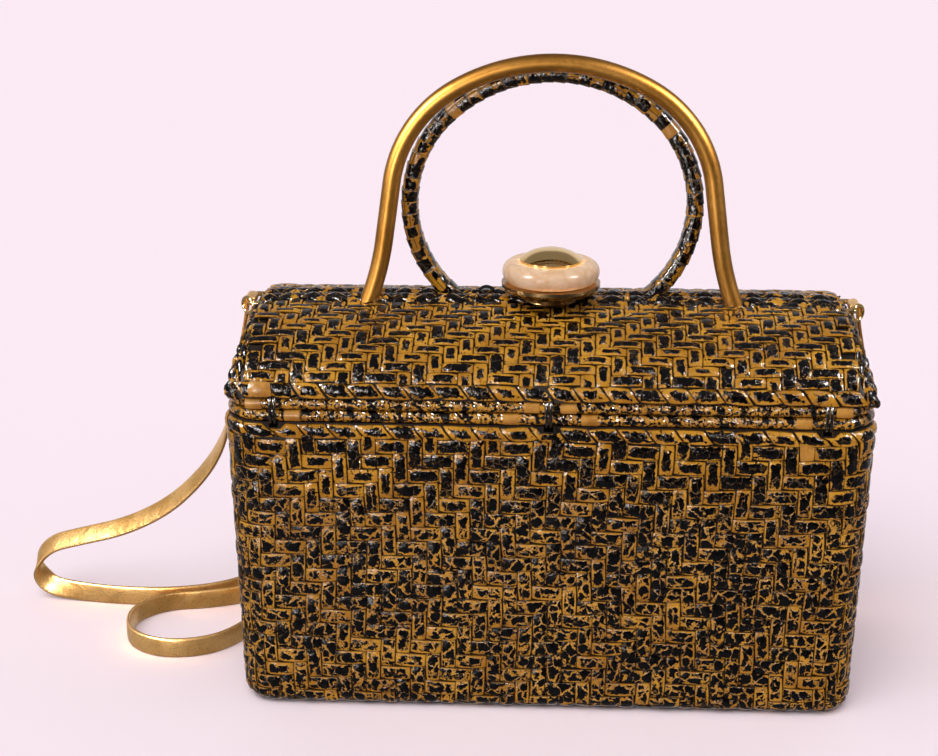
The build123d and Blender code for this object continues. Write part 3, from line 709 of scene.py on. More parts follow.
def round_outline(share, half_x, half_y, bend_radius):
    """A point on a rounded rectangle, leftward from the middle of the back, and its way out."""
    in_x, in_y = half_x - bend_radius, half_y - bend_radius
    long_run, short_run, bend_run = 2 * in_x, 2 * in_y, bend_radius * math.pi / 2
    rest = (share % 1.0) * 2 * (long_run + short_run + 2 * bend_run)
    runs = (
        ("line", long_run / 2, Vector((0, half_y)), math.pi),
        ("bend", bend_run, Vector((-in_x, in_y)), math.pi / 2),
        ("line", short_run, Vector((-half_x, in_y)), -math.pi / 2),
        ("bend", bend_run, Vector((-in_x, -in_y)), math.pi),
        ("line", long_run, Vector((-in_x, -half_y)), 0.0),
        ("bend", bend_run, Vector((in_x, -in_y)), -math.pi / 2),
        ("line", short_run, Vector((half_x, -in_y)), math.pi / 2),
        ("bend", bend_run, Vector((in_x, in_y)), 0.0),
        ("line", long_run, Vector((in_x, half_y)), math.pi),
    )
    for kind, length, start, angle in runs:
        if rest <= length:
            break
        rest -= length
    if kind == "line":
        out = Vector((math.sin(angle), -math.cos(angle)))
        return start + Vector((math.cos(angle), math.sin(angle))) * rest, out
    angle += rest / bend_radius
    out = Vector((math.cos(angle), math.sin(angle)))
    return start + out * bend_radius, out


def wall_lean_at(level):
    """How far the wall stands inside its top edge at a level."""
    return wall_lean * (1 - level / wall_top)


base_arc = base_round * math.pi / 2


def on_wall(x, climb, out):
    """A place on the wall: along the outline, up the profile from the floor line, and outward."""
    spot, face = round_outline(x / outline_length, half_length, half_depth, corner)
    out += cane_stand
    if climb <= 0:
        inset, level, rise = wall_lean_at(base_round) + base_round - climb, 0.0, 0.0
    elif climb < base_arc:
        rise = climb / base_round
        inset = wall_lean_at(base_round) + base_round * (1 - math.sin(rise))
        level = base_round * (1 - math.cos(rise))
    else:
        rise = math.pi / 2
        level = base_round + climb - base_arc
        inset = wall_lean_at(level)
    out -= (cane_stand + 0.1 * mm) * (1 - math.sin(rise))
    spot = spot - face * (inset - out * math.sin(rise))
    return Vector((spot.x, spot.y, level - out * math.cos(rise)))


wall_rows = 18
wall_warps = 116
rows_under_braid = 24
wall_row = (braid_bottom - base_round) / wall_rows
wall_warp = outline_length / wall_warps
wall_climb = base_arc + braid_bottom - base_round
mat, cane_points = twill_mat(wall_warp, wall_row, wall_warps // 4, 7)
first_row = wall_climb - rows_under_braid * wall_row


def wall_seat(x, y, out):
    """The flat mat's place on the wall, its rows a little wavy; the top row ends under the braid."""
    x += 0.8 * mm * math.sin(y / (19 * mm) + x / (37 * mm))
    y += 0.6 * mm * math.sin(x / (27 * mm) + 1.3) * math.sin(3.0 + y / (31 * mm))
    return on_wall(x, min(y + first_row, wall_climb + 1.5 * mm), out)


def on_basket(x, y):
    """Whether a cane lies between the base's underside and the braid."""
    return -2.2 * wall_row < y + first_row < wall_climb + 0.2 * wall_row


basket_weave = wrap_canes(mat, cane_points, wall_seat, on_basket, 11, 1.2, 0.007)
cane_crease = 50
make_piece(
    "basket_weave", basket_weave, [basket_cane, plain_cane], "basket", crease=cane_crease
)

# %% [markdown]
# ## The braid below the seam
# The mouth is finished with a row of slanted pads, each cane folded down over the next. They
# are laid flat like the mat, as leaning canes, and wrapped round the same wall.

# %% Basket braid
pad_height = 6.4 * mm
pad_slant = -4.6 * mm


def pad_row(pitch, count):
    """A flat row of slanted pads, and the number of points in each."""
    unit = bmesh.new()
    unit.loops.layers.uv.new("cane")
    points = add_cane(unit, (0, 0), 0.96 * pitch, pad_height, False, 0.7 * mm, 0.8 * mm, shear=pad_slant)
    return flat_mat(unit, pitch, count, 0.0, 1), points


pad_count = 62
pads, pad_points = pad_row(outline_length / pad_count, pad_count)
pad_level = (braid_bottom + wall_top) / 2 - 0.2 * mm
pad_climb = base_arc + pad_level - base_round
loop_places = (-118 * mm, 0.0, 118 * mm)
loop_room = 4.2 * mm


def pad_seat(x, y, out):
    """A pad's place below the mouth: its top tucks in under the rod, and lies low at a wire loop."""
    spot = on_wall(x, pad_climb + y, out)
    tuck = 1.1 * mm * (max(y, 0.0) / (pad_height / 2)) ** 2
    if y > 0 and spot.y < 0 and min(abs(spot.x - place) for place in loop_places) < loop_room:
        y *= 0.2
    return on_wall(x, pad_climb + y, out + 0.35 * mm - tuck)


basket_braid = wrap_canes(pads, pad_points, pad_seat, lambda x, y: True, 23, 2.0)
make_piece("basket_braid", basket_braid, braid_cane, "basket", crease=cane_crease)

# %% [markdown]
# ## The mats on the domed top
# Each half of the top is a quarter of an ellipse, long and low. The mat's rows run along the
# ridge, so a point needs its place along the ridge and its distance down the arch. The leaning
# end panels get a small mat of their own.

# %% Domed top
dome_base = 148.3 * mm
dome_rise = 27.2 * mm
dome_half_depth = 59 * mm
dome_half_length = 138.5 * mm
dome_end_lean = 7.0 * mm
arch_steps = 400
arch_table = [(0.0, Vector((0.0, dome_base + dome_rise)))]
for step in range(1, arch_steps + 1):
    turn = math.pi / 2 * step / arch_steps
    spot = Vector((dome_half_depth * math.sin(turn), dome_base + dome_rise * math.cos(turn)))
    arch_table.append((arch_table[-1][0] + (spot - arch_table[-1][1]).length, spot))
arch_length = arch_table[-1][0]


def on_arch(down):
    """Depth and level of a point some way down the arch from the ridge, and its way out."""
    lo, hi = 0, arch_steps
    while hi - lo > 1:
        mid = (lo + hi) // 2
        lo, hi = (mid, hi) if arch_table[mid][0] <= down else (lo, mid)
    share = (down - arch_table[lo][0]) / (arch_table[hi][0] - arch_table[lo][0])
    spot = arch_table[lo][1].lerp(arch_table[hi][1], min(1.0, max(0.0, share)))
    out = Vector((spot.x / dome_half_depth**2, (spot.y - dome_base) / dome_rise**2)).normalized()
    return spot + Vector((0, -1)) * max(0.0, down - arch_length), out


def dome_end(level):
    """Half the length of the dome at a level."""
    return dome_half_length - dome_end_lean * (level - dome_base) / dome_rise


halves = ((-1, "lid", "front"), (1, "basket", "back"))
lid_braid = 7.0 * mm
lid_first = 7.5 * mm
lid_rows = 12
lid_row = (arch_length - lid_braid - lid_first) / lid_rows
lid_warp = 6.5 * mm
lid_middle = 20 * lid_warp
lid_out = 2.3 * mm


def dome_seat(side):
    """Seats for the flat mat on one half of the dome, side -1 in front and 1 behind."""

    def seat(x, y, out):
        spot, face = on_arch(arch_length - lid_braid - max(y, -0.1 * lid_row))
        spot = spot + face * (out + lid_out)
        return Vector((-side * (x - lid_middle), side * spot.x, spot.y))

    return seat


def on_dome(x, y):
    """Whether a cane lies above the braid, below the ridge and between the end panels."""
    level = on_arch(arch_length - lid_braid - y)[0].y
    in_rows = -0.3 * lid_row < y < (lid_rows + 0.4) * lid_row
    return in_rows and abs(x - lid_middle) < dome_end(level) - 4.5 * mm


for side, body, name in halves:
    mat, cane_points = twill_mat(lid_warp, lid_row, 10, 4)
    weave = wrap_canes(mat, cane_points, dome_seat(side), on_dome, 31 + side)
    make_piece(f"{name}_lid_weave", weave, lid_cane, body, crease=cane_crease)

# %% [markdown]
# ## Braids above the seam and mats on the ends
# The lid has the same slanted pads along its lower edge. Its end panels lean in a little and
# are woven like the rest; a cane that would reach over the panel's edge is pressed back, and
# the plaited edge hides that place.

# %% Lid braids and end panels
lid_pads = 22
lid_pad_pitch = 2 * (dome_half_length - 6 * mm) / lid_pads
braid_middle = (lid_pads - 1) * lid_pad_pitch / 2
panel_lean = math.atan2(dome_end_lean, dome_rise)
panel_deep = dome_half_depth - 2.5 * mm
panel_high = dome_rise - 3.0 * mm


def braid_seat(side):
    """Seats for the slanted pads on one half of the dome."""

    def seat(x, y, out):
        spot, face = on_arch(arch_length - lid_braid / 2 - 0.2 * mm - y)
        spot = spot + face * (out + 1.75 * mm)
        return Vector((-side * (x - braid_middle), side * spot.x, spot.y))

    return seat


def pressed(value, low, high):
    """A value held between two limits, but for a small share of what it goes past them."""
    give = 0.12
    value = max(value, low + give * (value - low))
    return min(value, high + give * (value - high))


def panel_seat(side, end):
    """Seats for a small mat on a leaning end panel; canes that reach past its edge are pressed back."""

    def seat(x, y, out):
        y = pressed(y, 0.4 * mm, panel_high)
        rise = y * math.cos(panel_lean)
        edge = panel_deep * math.sqrt(max(0.02, 1 - (rise / (dome_rise - 0.5 * mm)) ** 2))
        x = pressed(x, 0.9 * mm, edge)
        out += 0.9 * mm
        reach = dome_end(dome_base + rise) + out * math.cos(panel_lean)
        return Vector((end * reach, side * x, dome_base + rise + out * math.sin(panel_lean)))

    return seat


def inside_panel(x, y):
    """Whether a cane lies on an end panel."""
    level = y * math.cos(panel_lean) / (dome_rise - 1.5 * mm)
    return x > 0.0 and (x / panel_deep) ** 2 + level**2 < 1 and y > 0.0


for side, body, name in halves:
    pads, pad_points = pad_row(lid_pad_pitch, lid_pads)
    braid = wrap_canes(pads, pad_points, braid_seat(side), lambda x, y: True, 41 + side, 2.0)
    bmesh.ops.recalc_face_normals(braid, faces=braid.faces[:])
    make_piece(f"{name}_lid_braid", braid, braid_cane, body, crease=cane_crease)
    for end, end_name in ends:
        mat, cane_points = twill_mat(6.0 * mm, 4.6 * mm, 3, 2)
        seed = 51 + 2 * side + end
        panel = wrap_canes(mat, cane_points, panel_seat(side, end), inside_panel, seed)
        bmesh.ops.recalc_face_normals(panel, faces=panel.faces[:])
        panel_name = f"{name}_{end_name}_panel"
        make_piece(panel_name, panel, lid_cane, body, crease=cane_crease)

# %% [markdown]
# ## Plaited edges
# The ridge and the two arched ends are finished with a plait of three flat canes. Each strand
# swings from side to side and over and under the others, a third of a turn apart. A strand is a
# grid bent into a flat sleeve, like the strap, and its UV map counts the lobes that show.


# %% Plait helper
def add_sleeve(bm, uv, line, across, width, thickness, sides, lobe):
    """A flat sleeve along a line; its UV map tells the middle of a lobe from its ends and sides."""
    before = set(bm.verts)
    last = len(line) - 1
    bmesh.ops.create_grid(bm, x_segments=last, y_segments=sides, size=0.5, calc_uvs=True)
    fresh = [v for v in bm.verts if v not in before]
    heading = tangents(line)
    travel = running_length(line)
    for face in {f for v in fresh for f in v.link_faces}:
        for loop in face.loops:
            ring = round((loop.vert.co.x + 0.5) * last)
            from_top = abs(((loop.vert.co.y + 0.5) - 0.25 + 0.5) % 1.0 - 0.5) / 0.27
            beat = abs((travel[ring] / lobe) % 1.0 - 0.5) * 2
            loop[uv].uv = (0.5 + 0.5 * beat, 0.5 + 0.5 * min(1.0, from_top))
    for vert in fresh:
        ring = round((vert.co.x + 0.5) * last)
        angle = 2 * math.pi * (vert.co.y + 0.5)
        wide = (across[ring] - heading[ring] * across[ring].dot(heading[ring])).normalized()
        top = wide.cross(heading[ring])
        sideways, upward = math.cos(angle) * width / 2, math.sin(angle) * thickness / 2
        vert.co = line[ring] + wide * sideways + top * upward
    return fresh


strand_sides = 8


def plait(name, spine, length, period, swing, lift, width, thickness, finish, body, seed, roll=None):
    """Three strands plaited along a spine, which gives a point and the sideways and upward directions
    there; roll is the radius of a rod that the plait lies over."""
    luck = random.Random(seed)
    bm = bmesh.new()
    uv = bm.loops.layers.uv.new("cane")
    chance = bm.verts.layers.float.new("chance")
    steps = int(length / (period / 14))
    for strand in range(3):
        line, across = [], []
        for step in range(steps + 1):
            along = length * step / steps
            turn = 2 * math.pi * (along / period + strand / 3)
            centre, sideways, upward = spine(along)
            if roll:
                lean = swing * math.sin(turn) / roll
                radial = sideways * math.sin(lean) + upward * math.cos(lean)
                sideways = sideways * math.cos(lean) - upward * math.sin(lean)
                line.append(centre + radial * (roll + lift * math.sin(2 * turn)))
                upward = radial
            else:
                offset = sideways * (swing * math.sin(turn)) + upward * (lift * math.sin(2 * turn))
                line.append(centre + offset)
            across.append(sideways - upward * 0.35 * math.cos(2 * turn))
        for vert in add_sleeve(bm, uv, line, across, width, thickness, strand_sides, period / 2):
            vert[chance] = luck.random()
    close_up(bm, 1e-7, strand_sides)
    return make_piece(name, bm, finish, body)


# %% Plaits on the ridge and the arched ends
ridge_level = 174.5 * mm
ridge_length = 258 * mm
edge_start = 3.0 * mm
plait_cane = cane_finish("plait_cane", (0.94, 0.6, 0.0, 0.26))
for side, body, name in halves:

    def ridge_spine(along):
        level = ridge_level - 1.2 * mm * (2 * along / ridge_length - 1) ** 8
        spot = Vector((along - ridge_length / 2, side * 4.0 * mm, level))
        return spot, Vector((0, -1, 0)), Vector((0, 0, 1))

    plait(
        f"{name}_ridge_plait", ridge_spine, ridge_length, 31 * mm, 3.9 * mm, 0.5 * mm, 4.6 * mm, 1.5 * mm,
        plait_cane, body, 61 + side, roll=4.25 * mm,
    )
    for end, end_name in ends:

        def arch_spine(along):
            spot, face = on_arch(edge_start + along)
            spot = spot - face * 1.7 * mm
            out = Vector((end * 0.6, side * face.x * 0.8, face.y * 0.8)).normalized()
            down = Vector((0, side * face.y, -face.x))
            reach = dome_end(spot.y) - 1.9 * mm
            return Vector((end * reach, side * spot.x, spot.y)), down.cross(out).normalized(), out

        plait(
            f"{name}_{end_name}_edge_plait", arch_spine, arch_length - edge_start, 22 * mm, 2.1 * mm,
            0.9 * mm, 3.4 * mm, 2.0 * mm, plait_cane, body, 71 + 2 * side + end,
        )

# %% [markdown]
# ## Wrapped cane handle
# The horseshoe handle is a bent core bound with a flat cane, turn after turn. Each turn lies on
# the edge of the last one like a shingle, so its outline is a fine saw. Each turn here is a grid
# bent into a ring that rises from one edge to the other, set square to the core's line with a
# small tilt of its own. The solid stays underneath as the core.


# %% Handle wraps
def bent_line(start, parts, step):
    """Points along an upright line of parts: arcs that turn down, as radius and angle, and straight
    runs, as 0 and length."""
    spot, angle, points = Vector(start), 0.0, [Vector(start)]
    for radius, size in parts:
        run = math.radians(size) * radius if radius else size
        count = max(1, round(run / step))
        for _ in range(count):
            turn = run / count / radius if radius else 0.0
            angle -= turn / 2
            spot = spot + Vector((math.cos(angle), 0, math.sin(angle))) * (run / count)
            angle -= turn / 2
            points.append(spot.copy())
    return points


def even_points(line, count):
    """Points and directions at even distances along a line."""
    travel, heading = running_length(line), tangents(line)
    found, i = [], 0
    for k in range(count):
        want = travel[-1] * (k + 0.5) / count
        while travel[i + 1] < want:
            i += 1
        share = (want - travel[i]) / (travel[i + 1] - travel[i])
        direction = heading[i].lerp(heading[i + 1], share).normalized()
        found.append((line[i].lerp(line[i + 1], share), direction))
    return found


def add_wrap(
    bm, uv, spot, heading, half_wide, half_thick, pitch, low, high, tilt, roundness=0.667, shift=0
):
    """One turn of a wrapping cane round a core: a ring that rises from one edge to the other."""
    before = set(bm.verts)
    bmesh.ops.create_grid(bm, x_segments=5, y_segments=16, size=0.5)
    fresh = [v for v in bm.verts if v not in before]
    wide = Vector((0, 1, 0))
    thick = wide.cross(heading).normalized()
    index = {v: (round((v.co.x + 0.5) * 5), round((v.co.y + 0.5) * 16)) for v in fresh}
    for face in {f for v in fresh for f in v.link_faces}:
        quarter = (min(index[l.vert][1] for l in face.loops) + shift) // 4
        for loop in face.loops:
            along, around = index[loop.vert]
            loop[uv].uv = ((around + shift - 4 * quarter) / 4, along / 5)
    for vert in fresh:
        along, around = index[vert]
        run = (-0.52, -0.48, -0.18, 0.18, 0.46, 0.52)[along]
        lift = (-0.3 * mm, low, low * 0.6 + high * 0.4, low * 0.3 + high * 0.7, high, -0.3 * mm)[along]
        angle = 2 * math.pi * (around / 16 + 0.125)
        c, s = math.cos(angle), math.sin(angle)
        across = math.copysign(abs(c) ** roundness, c) * (half_wide + lift)
        up = math.copysign(abs(s) ** roundness, s) * (half_thick + lift)
        vert.co = spot + heading * (run * pitch + tilt * across) + wide * across + thick * up
    return fresh


wrap_pitch = 5.5 * mm
handle_half_wide = 5.5 * mm
handle_half_thick = 3.5 * mm
wraps_above = 171 * mm
handle_parts = ((67 * mm, 45), (55 * mm, 92), (0, 8.5 * mm))
handle_half = bent_line((0, 7.5 * mm, 277 * mm), handle_parts, 1.0 * mm)
handle_line = [Vector((-p.x, p.y, p.z)) for p in handle_half[:0:-1]] + handle_half
wrap_count = round(running_length(handle_line)[-1] / wrap_pitch)
bare_turns = (round(0.33 * wrap_count), round(0.69 * wrap_count))
luck = random.Random(5)
handle_bm = bmesh.new()
handle_uv = handle_bm.loops.layers.uv.new("cane")
handle_chance = handle_bm.verts.layers.float.new("chance")
for turn, (spot, heading) in enumerate(even_points(handle_line, wrap_count)):
    if spot.z < wraps_above:
        continue
    ring = add_wrap(
        handle_bm, handle_uv, spot, heading, handle_half_wide, handle_half_thick,
        wrap_pitch * luck.uniform(0.98, 1.06), luck.uniform(0.05, 0.12) * mm,
        luck.uniform(0.40, 0.62) * mm, luck.uniform(-0.08, 0.12), shift=luck.randrange(3),
    )
    share = luck.random()
    for vert in ring:
        vert[handle_chance] = share
    for face in {f for v in ring for f in v.link_faces}:
        in_front = face.calc_center_median().y < 5 * mm
        face.material_index = 1 if turn in bare_turns and in_front else 0
close_up(handle_bm, 1e-7)
handle_cane = cane_finish("handle_cane", (0.80, 0.78, 0.0, 0.24))
wrap_crease = 38
make_piece(
    "handle_wraps", handle_bm, [handle_cane, plain_cane], "basket", crease=wrap_crease
)

# %% [markdown]
# ## Metals, pearl and wire
# These solids have their shape already, so they keep it and get a finish. The tube is brushed
# and satin, the knob's cap and the bails are polished, and its dish and the collar are a duller
# gold. Each has soft clouds of tarnish. The pearl is a cast resin, milky with pale clouds inside.


# %% Finishes for the solids
def dress(finish, *names):
    """Gives a finish to solids of the frame."""
    for name in names:
        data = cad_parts[name].data
        data.materials.clear()
        data.materials.append(finish)


def metal(name, dark, light, rough_low, rough_high, streaks, brushed=0.15):
    """A metal with soft clouds of tarnish and fine brushed streaks along its length."""
    material, tree, shader, place = new_finish(name)
    cloud = grain(tree, place, 45.0, 4.0, 0.6)
    stretched = add_node(
        tree, "ShaderNodeVectorMath", operation="MULTIPLY", in0=place, in1=streaks
    )
    streak = grain(tree, stretched.outputs[0], 1.0, 2.0, 0.5)
    set_surface(tree, shader, {
        "Base Color": blend_colour(tree, between(tree, cloud, 0.30, 0.70), dark, light),
        "Metallic": 1.0,
        "Roughness": between(tree, streak, 0.25, 0.75, rough_low, rough_high),
    })
    emboss(tree, shader, streak, brushed, 0.0001)
    return material


along_tube = (2600.0, 2600.0, 500.0)
satin_gold = metal("satin_gold", rgb(122, 84, 34), rgb(140, 101, 47), 0.34, 0.44, along_tube)
polish = (300.0, 300.0, 300.0)
bright_gold = metal(
    "bright_gold", rgb(222, 186, 116), rgb(240, 208, 148), 0.09, 0.16, polish, 0.04
)
# The knob's dish and the clasp collar take a darker, duller gold than the cap.
dark_gold = metal("dark_gold", rgb(138, 112, 74), rgb(166, 138, 94), 0.16, 0.24, polish, 0.04)
filing = (900.0, 900.0, 900.0)
plain_steel = metal("plain_steel", rgb(118, 112, 104), rgb(164, 158, 150), 0.26, 0.38, filing)
dress(satin_gold, "metal_handle")
dress(bright_gold, "knob_cap", "strap_bails")
dress(dark_gold, "knob_dish", "clasp_collar")
dress(
    plain_steel,
    "handle_screws", "handle_washers", "clasp_keeper", "clasp_spindle", "clasp_cam", "clasp_nut",
)

pearl, tree, shader, place = new_finish("cast_pearl")
swirl = grain(tree, place, 110.0, 3.0, 0.55, 1.6)
cloud = grain(tree, place, 260.0, 3.0, 0.6, 0.8)
milk = blend_colour(tree, between(tree, swirl, 0.32, 0.70), rgb(216, 178, 138), rgb(230, 200, 166))
milk = blend_colour(tree, between(tree, cloud, 0.62, 0.76, 0.0, 0.4), milk, rgb(238, 216, 196))
set_surface(tree, shader, {
    "Base Color": milk,
    "Subsurface Weight": 0.3,
    "Subsurface Radius": (1.0, 0.55, 0.35),
    "Subsurface Scale": 0.002,
    "Roughness": between(tree, cloud, 0.3, 0.7, 0.18, 0.30),
    "Specular IOR Level": 0.09,
})
dress(pearl, "knob_pearl")

wire, tree, shader, place = new_finish("black_wire")
chips = grain(tree, place, 700.0, 3.0, 0.6)
chipped = between(tree, chips, 0.62, 0.74, 0.0, 0.7)
set_surface(tree, shader, {
    "Base Color": blend_colour(tree, chipped, rgb(10, 9, 9), rgb(92, 74, 44)),
    "Roughness": between(tree, chips, 0.3, 0.7, 0.14, 0.30),
    "Coat Weight": 0.5,
})
dress(wire, "hinge_loops", "handle_tie")
print("dressed metals, pearl and wire")

# %% [markdown]
# ## Rods and the bare weave
# The rods along the seam are bound with the same cane, in turns of about ten millimetres, and
# painted like the rest; their joints are drawn by the finish, because they hardly stand out.
# Behind the canes the solids show as dark crevices outside, painted as shade and partly the dark
# wood, and inside as the unpainted back of the twill, with painted shade in the gaps between its
# canes.


# %% Finishes for rods and backing
def rod_finish(name):
    """Painted cane bound round a rod: the place along the rod stands in for a cane's UV map."""
    material, tree, shader, place = new_finish(name)
    spot = add_node(tree, "ShaderNodeSeparateXYZ", Vector=place)
    run = sum_up(tree, "ADD", spot.outputs[0], sum_up(tree, "MULTIPLY", spot.outputs[1], 0.83))
    slant = sum_up(tree, "MULTIPLY_ADD", spot.outputs[2], 0.35, run)
    turns = sum_up(tree, "DIVIDE", slant, 0.0098)
    share = sum_up(tree, "FRACT", turns)
    cane = add_node(tree, "ShaderNodeCombineXYZ", X=share, Y=0.5).outputs[0]
    turn = sum_up(tree, "FLOOR", turns)
    luck = add_node(tree, "ShaderNodeTexWhiteNoise", noise_dimensions="1D", W=turn).outputs["Value"]
    paint = add_node(
        tree, "ShaderNodeGroup", node_tree=brushed_lacquer, Place=place, Cane=cane, Chance=luck,
        Patch=0.42, Ragged=0.90, Cracks=0.10, Flecks=0.72,
    )
    set_surface(tree, shader, {
        "Base Color": paint.outputs["Color"],
        "Roughness": paint.outputs["Roughness"],
        "Specular IOR Level": 0.4,
    })
    step = sum_up(tree, "ABSOLUTE", sum_up(tree, "SUBTRACT", share, 0.5))
    step = between(tree, step, 0.40, 0.49, 1.0, 0.0)
    height = sum_up(tree, "MULTIPLY_ADD", step, 1.5, paint.outputs["Height"])
    emboss(tree, shader, height, 0.5, 0.0006)
    return material


def backing_finish(name, centre, flat):
    """Dark crevices on the outside of a shell, painted as shade and partly the dark wood, and the bare
    twill of its canes on the inside, with painted shade in the gaps between them.
    """
    material, tree, shader, place = new_finish(name)
    facing = tree.nodes.new("ShaderNodeTexCoord").outputs["Normal"]
    from_centre = add_node(
        tree, "ShaderNodeVectorMath", operation="SUBTRACT", in0=place, in1=centre
    ).outputs[0]
    outward = add_node(
        tree, "ShaderNodeVectorMath", operation="DOT_PRODUCT", in0=facing, in1=from_centre
    )
    inside = between(tree, outward.outputs["Value"], -0.004, 0.0, 1.0, 0.0)
    spot = add_node(tree, "ShaderNodeSeparateXYZ", Vector=place)
    if flat:
        warp_run, row_run = spot.outputs[0], spot.outputs[1]
    else:
        warp_run = sum_up(tree, "ADD", spot.outputs[0], spot.outputs[1])
        row_run = spot.outputs[2]
    warps = sum_up(tree, "DIVIDE", warp_run, 0.0066)
    rows = sum_up(tree, "DIVIDE", row_run, 0.0062)
    turn = sum_up(tree, "ADD", sum_up(tree, "FLOOR", warps), sum_up(tree, "FLOOR", rows))
    over = sum_up(tree, "LESS_THAN", sum_up(tree, "FLOORED_MODULO", turn, 4.0), 1.5)
    across = blend_number(tree, over, sum_up(tree, "FRACT", warps), sum_up(tree, "FRACT", rows))
    off_middle = sum_up(tree, "ABSOLUTE", sum_up(tree, "SUBTRACT", across, 0.5))
    tone = grain(tree, place, 240.0, 3.0, 0.6)
    bare = blend_colour(tree, between(tree, tone, 0.3, 0.7), rgb(148, 104, 52), rgb(186, 142, 84))
    # Painted shade: each drawn cane darkens toward its edges, standing in for the shaded gaps between the
    # canes.
    bare = blend_colour(tree, between(tree, off_middle, 0.34, 0.49), bare, rgb(52, 30, 14))
    # Painted shade: the outside of the shell shows only in the gaps behind the canes, and its near-black
    # brown stands in for the shade there, partly the dark wood.
    dark = blend_colour(tree, between(tree, tone, 0.3, 0.7), rgb(16, 9, 5), rgb(34, 19, 8))
    set_surface(tree, shader, {
        "Base Color": blend_colour(tree, inside, dark, bare),
        "Roughness": between(tree, tone, 0.3, 0.7, 0.45, 0.62),
        "Specular IOR Level": 0.1,
    })
    dome = sum_up(tree, "SUBTRACT", 0.25, sum_up(tree, "MULTIPLY", off_middle, off_middle))
    emboss(tree, shader, sum_up(tree, "MULTIPLY", dome, inside), 0.8, 0.004)
    return material


dress(rod_finish("painted_rod"), "body_rim", "front_lid_rim", "back_cover_rim")
dress(backing_finish("basket_backing", (0.0, 0.0, 0.07), False), "basket_body")
dress(backing_finish("lid_backing", (0.0, 0.0, 0.12), True), "front_lid", "back_cover")
# Painted shade: the core shows only in the gaps between the wrapping turns, and its dark brown stands in
# for the shade there.
core, tree, shader, place = new_finish("handle_core")
core_tone = grain(tree, place, 300.0, 3.0, 0.6)
core_gap_shade = blend_colour(tree, core_tone, rgb(26, 15, 8), rgb(58, 36, 16))
set_surface(tree, shader, {"Base Color": core_gap_shade, "Roughness": 0.5})
dress(core, "cane_handle")
print("dressed rods, shells and core")

# %% [markdown]
# ## Loose ends: tabs, bindings and rings
# Where the wire loops pass, the weaver tucked in a few short canes and left them unpainted: a
# tab over the left loop, and bindings round the two rods. A small gold ring hangs on each bail
# beside the folded strap.

# %% Tabs, bindings and rings
tab_bm = bmesh.new()
tab_bm.loops.layers.uv.new("cane")
tab_points = add_cane(tab_bm, (0, 0), 11.5 * mm, 5.8 * mm, False, 0.9 * mm, 0.7 * mm)
on_front_braid = braid_seat(-1)


def tab_seat(x, y, out):
    """The tab's place over the front braid; it narrows upward."""
    narrow = 1 - 30 * (y + 2.9 * mm)
    return on_front_braid(braid_middle - 123.5 * mm + x * narrow, y + 0.4 * mm, out + 1.0 * mm)


tab = wrap_canes(tab_bm, tab_points, tab_seat, lambda x, y: True, 7)
bmesh.ops.recalc_face_normals(tab, faces=tab.faces[:])
make_piece("loop_tab", tab, plain_cane, "lid", crease=cane_crease)

rod_radius = 2.5 * mm
for body, name, level, places in (
    ("lid", "lid", 145.7 * mm, (-126.0, -7.0, 8.5, 124.5)),
    ("basket", "body", 140.3 * mm, (-109.5, 17.5, -16.0, 108.0)),
):
    bind_bm = bmesh.new()
    bind_uv = bind_bm.loops.layers.uv.new("cane")
    for place in places:
        spot = Vector((place * mm, -57.4 * mm, level))
        add_wrap(
            bind_bm, bind_uv, spot, Vector((1, 0, 0)), rod_radius, rod_radius, 7.0 * mm,
            0.12 * mm, 0.26 * mm, 0.1, 1.0,
        )
    close_up(bind_bm, 1e-7)
    make_piece(
        f"{name}_rod_bindings", bind_bm, plain_cane, body, crease=wrap_crease
    )

ring_radius = 3.6 * mm
ring_wire = 0.85 * mm
ring_bm = bmesh.new()
for end in (-1, 1):
    made = bmesh.ops.create_circle(ring_bm, segments=12, radius=ring_wire)["verts"]
    bmesh.ops.translate(ring_bm, verts=made, vec=(ring_radius, 0, 0))
    edges = list({e for v in made for e in v.link_edges})
    bmesh.ops.spin(
        ring_bm, geom=made + edges, cent=(0, 0, 0), axis=(0, 1, 0), angle=2 * math.pi, steps=32,
        use_merge=True,
    )
    ring = [v for v in ring_bm.verts if v.co.length < 0.02]
    turned = Matrix.Rotation(end * 0.7, 3, "Z")
    bmesh.ops.rotate(ring_bm, verts=ring, cent=(0, 0, 0), matrix=turned)
    bmesh.ops.translate(ring_bm, verts=ring, vec=(end * 137.6 * mm, 3.2 * mm, 171.3 * mm))
bmesh.ops.recalc_face_normals(ring_bm, faces=ring_bm.faces[:])
make_piece("bail_rings", ring_bm, bright_gold, "basket")

# %% [markdown]
# ## Lining
# Inside hangs a sewn tub of plain cloth with a turned hem. It is one sheet: a grid whose rows go
# up the inside, over the hem and down the outside, wrapped round a rounded rectangle that widens
# upward like the basket. Slow waves keep the cloth from looking like a hard shell.

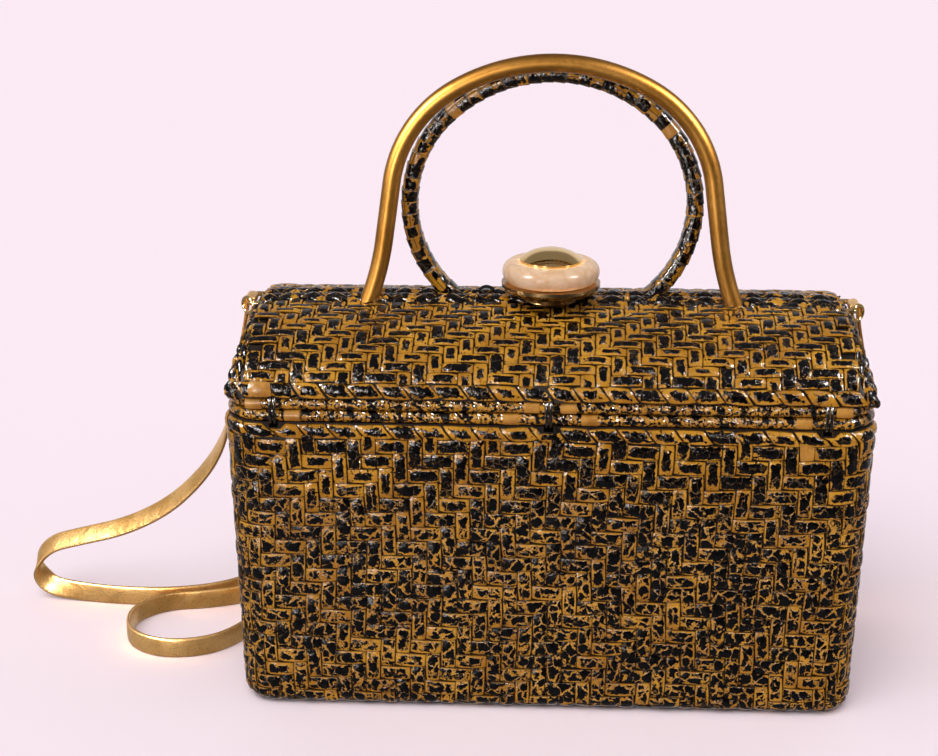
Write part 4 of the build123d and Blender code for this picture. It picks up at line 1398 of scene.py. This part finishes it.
# %% Lining tub
lining_rows = [
    (1.0, 4.0), (1.0, 12.0), (1.0, 40.0), (1.0, 75.0), (1.0, 105.0), (1.0, 118.6), (1.55, 119.2),
    (1.65, 124.0), (1.6, 128.0), (1.0, 128.9), (0.3, 128.3), (0.1, 120.0), (0.1, 75.0), (0.1, 12.0),
    (0.3, 3.1),
]
lining_sides = 176
lining_bm = bmesh.new()
lining_bm.loops.layers.uv.new("cloth")
last_row = len(lining_rows) - 1
bmesh.ops.create_grid(
    lining_bm, x_segments=lining_sides, y_segments=last_row, size=0.5, calc_uvs=True
)
for vert in lining_bm.verts:
    share = (vert.co.x + 0.5) % 1.0
    inset, level = lining_rows[round((vert.co.y + 0.5) * last_row)]
    wave = 0.35 * (1 + math.sin(34 * math.pi * share + level / 17)) * math.sin(math.pi * level / 132) ** 2
    spread = (level - 3.0) * math.tan(math.radians(3.187)) - inset - (wave if inset >= 1.0 else 0.0)
    corner_radius = max(1.5, 5 + spread) * mm
    spot, _ = round_outline(share, (128 + spread) * mm, (48 + spread) * mm, corner_radius)
    vert.co = (spot.x, spot.y, level * mm)
close_up(lining_bm, 1e-6, lining_sides)

cloth, tree, shader, place = new_finish("lining_cloth")
spot = add_node(tree, "ShaderNodeSeparateXYZ", Vector=place)
cloth_run = sum_up(tree, "ADD", spot.outputs[0], spot.outputs[1])
threads = sum_up(tree, "SINE", sum_up(tree, "MULTIPLY", cloth_run, 7000.0))
picks = sum_up(tree, "SINE", sum_up(tree, "MULTIPLY", spot.outputs[2], 7000.0))
linen = grain(tree, place, 90.0, 4.0, 0.6)
tint = blend_colour(tree, between(tree, linen, 0.3, 0.7), rgb(150, 116, 74), rgb(178, 146, 102))
hem_line = sum_up(tree, "ABSOLUTE", sum_up(tree, "SUBTRACT", spot.outputs[2], 0.1215))
hem_line = between(tree, hem_line, 0.0003, 0.0006, 1.0, 0.0)
stitch_run = sum_up(tree, "FRACT", sum_up(tree, "DIVIDE", cloth_run, stitch_length))
stitch = sum_up(tree, "MULTIPLY", hem_line, sum_up(tree, "LESS_THAN", stitch_run, 0.68))
set_surface(tree, shader, {
    "Base Color": blend_colour(tree, stitch, tint, rgb(92, 64, 34)),
    "Roughness": 0.85,
    "Sheen Weight": 0.2,
})
height = sum_up(tree, "MULTIPLY_ADD", stitch, 3.0, sum_up(tree, "ADD", threads, picks))
emboss(tree, shader, height, 0.25, 0.0002)
make_piece("lining_tub", lining_bm, cloth, "basket", ["lining"], crease=cane_crease)
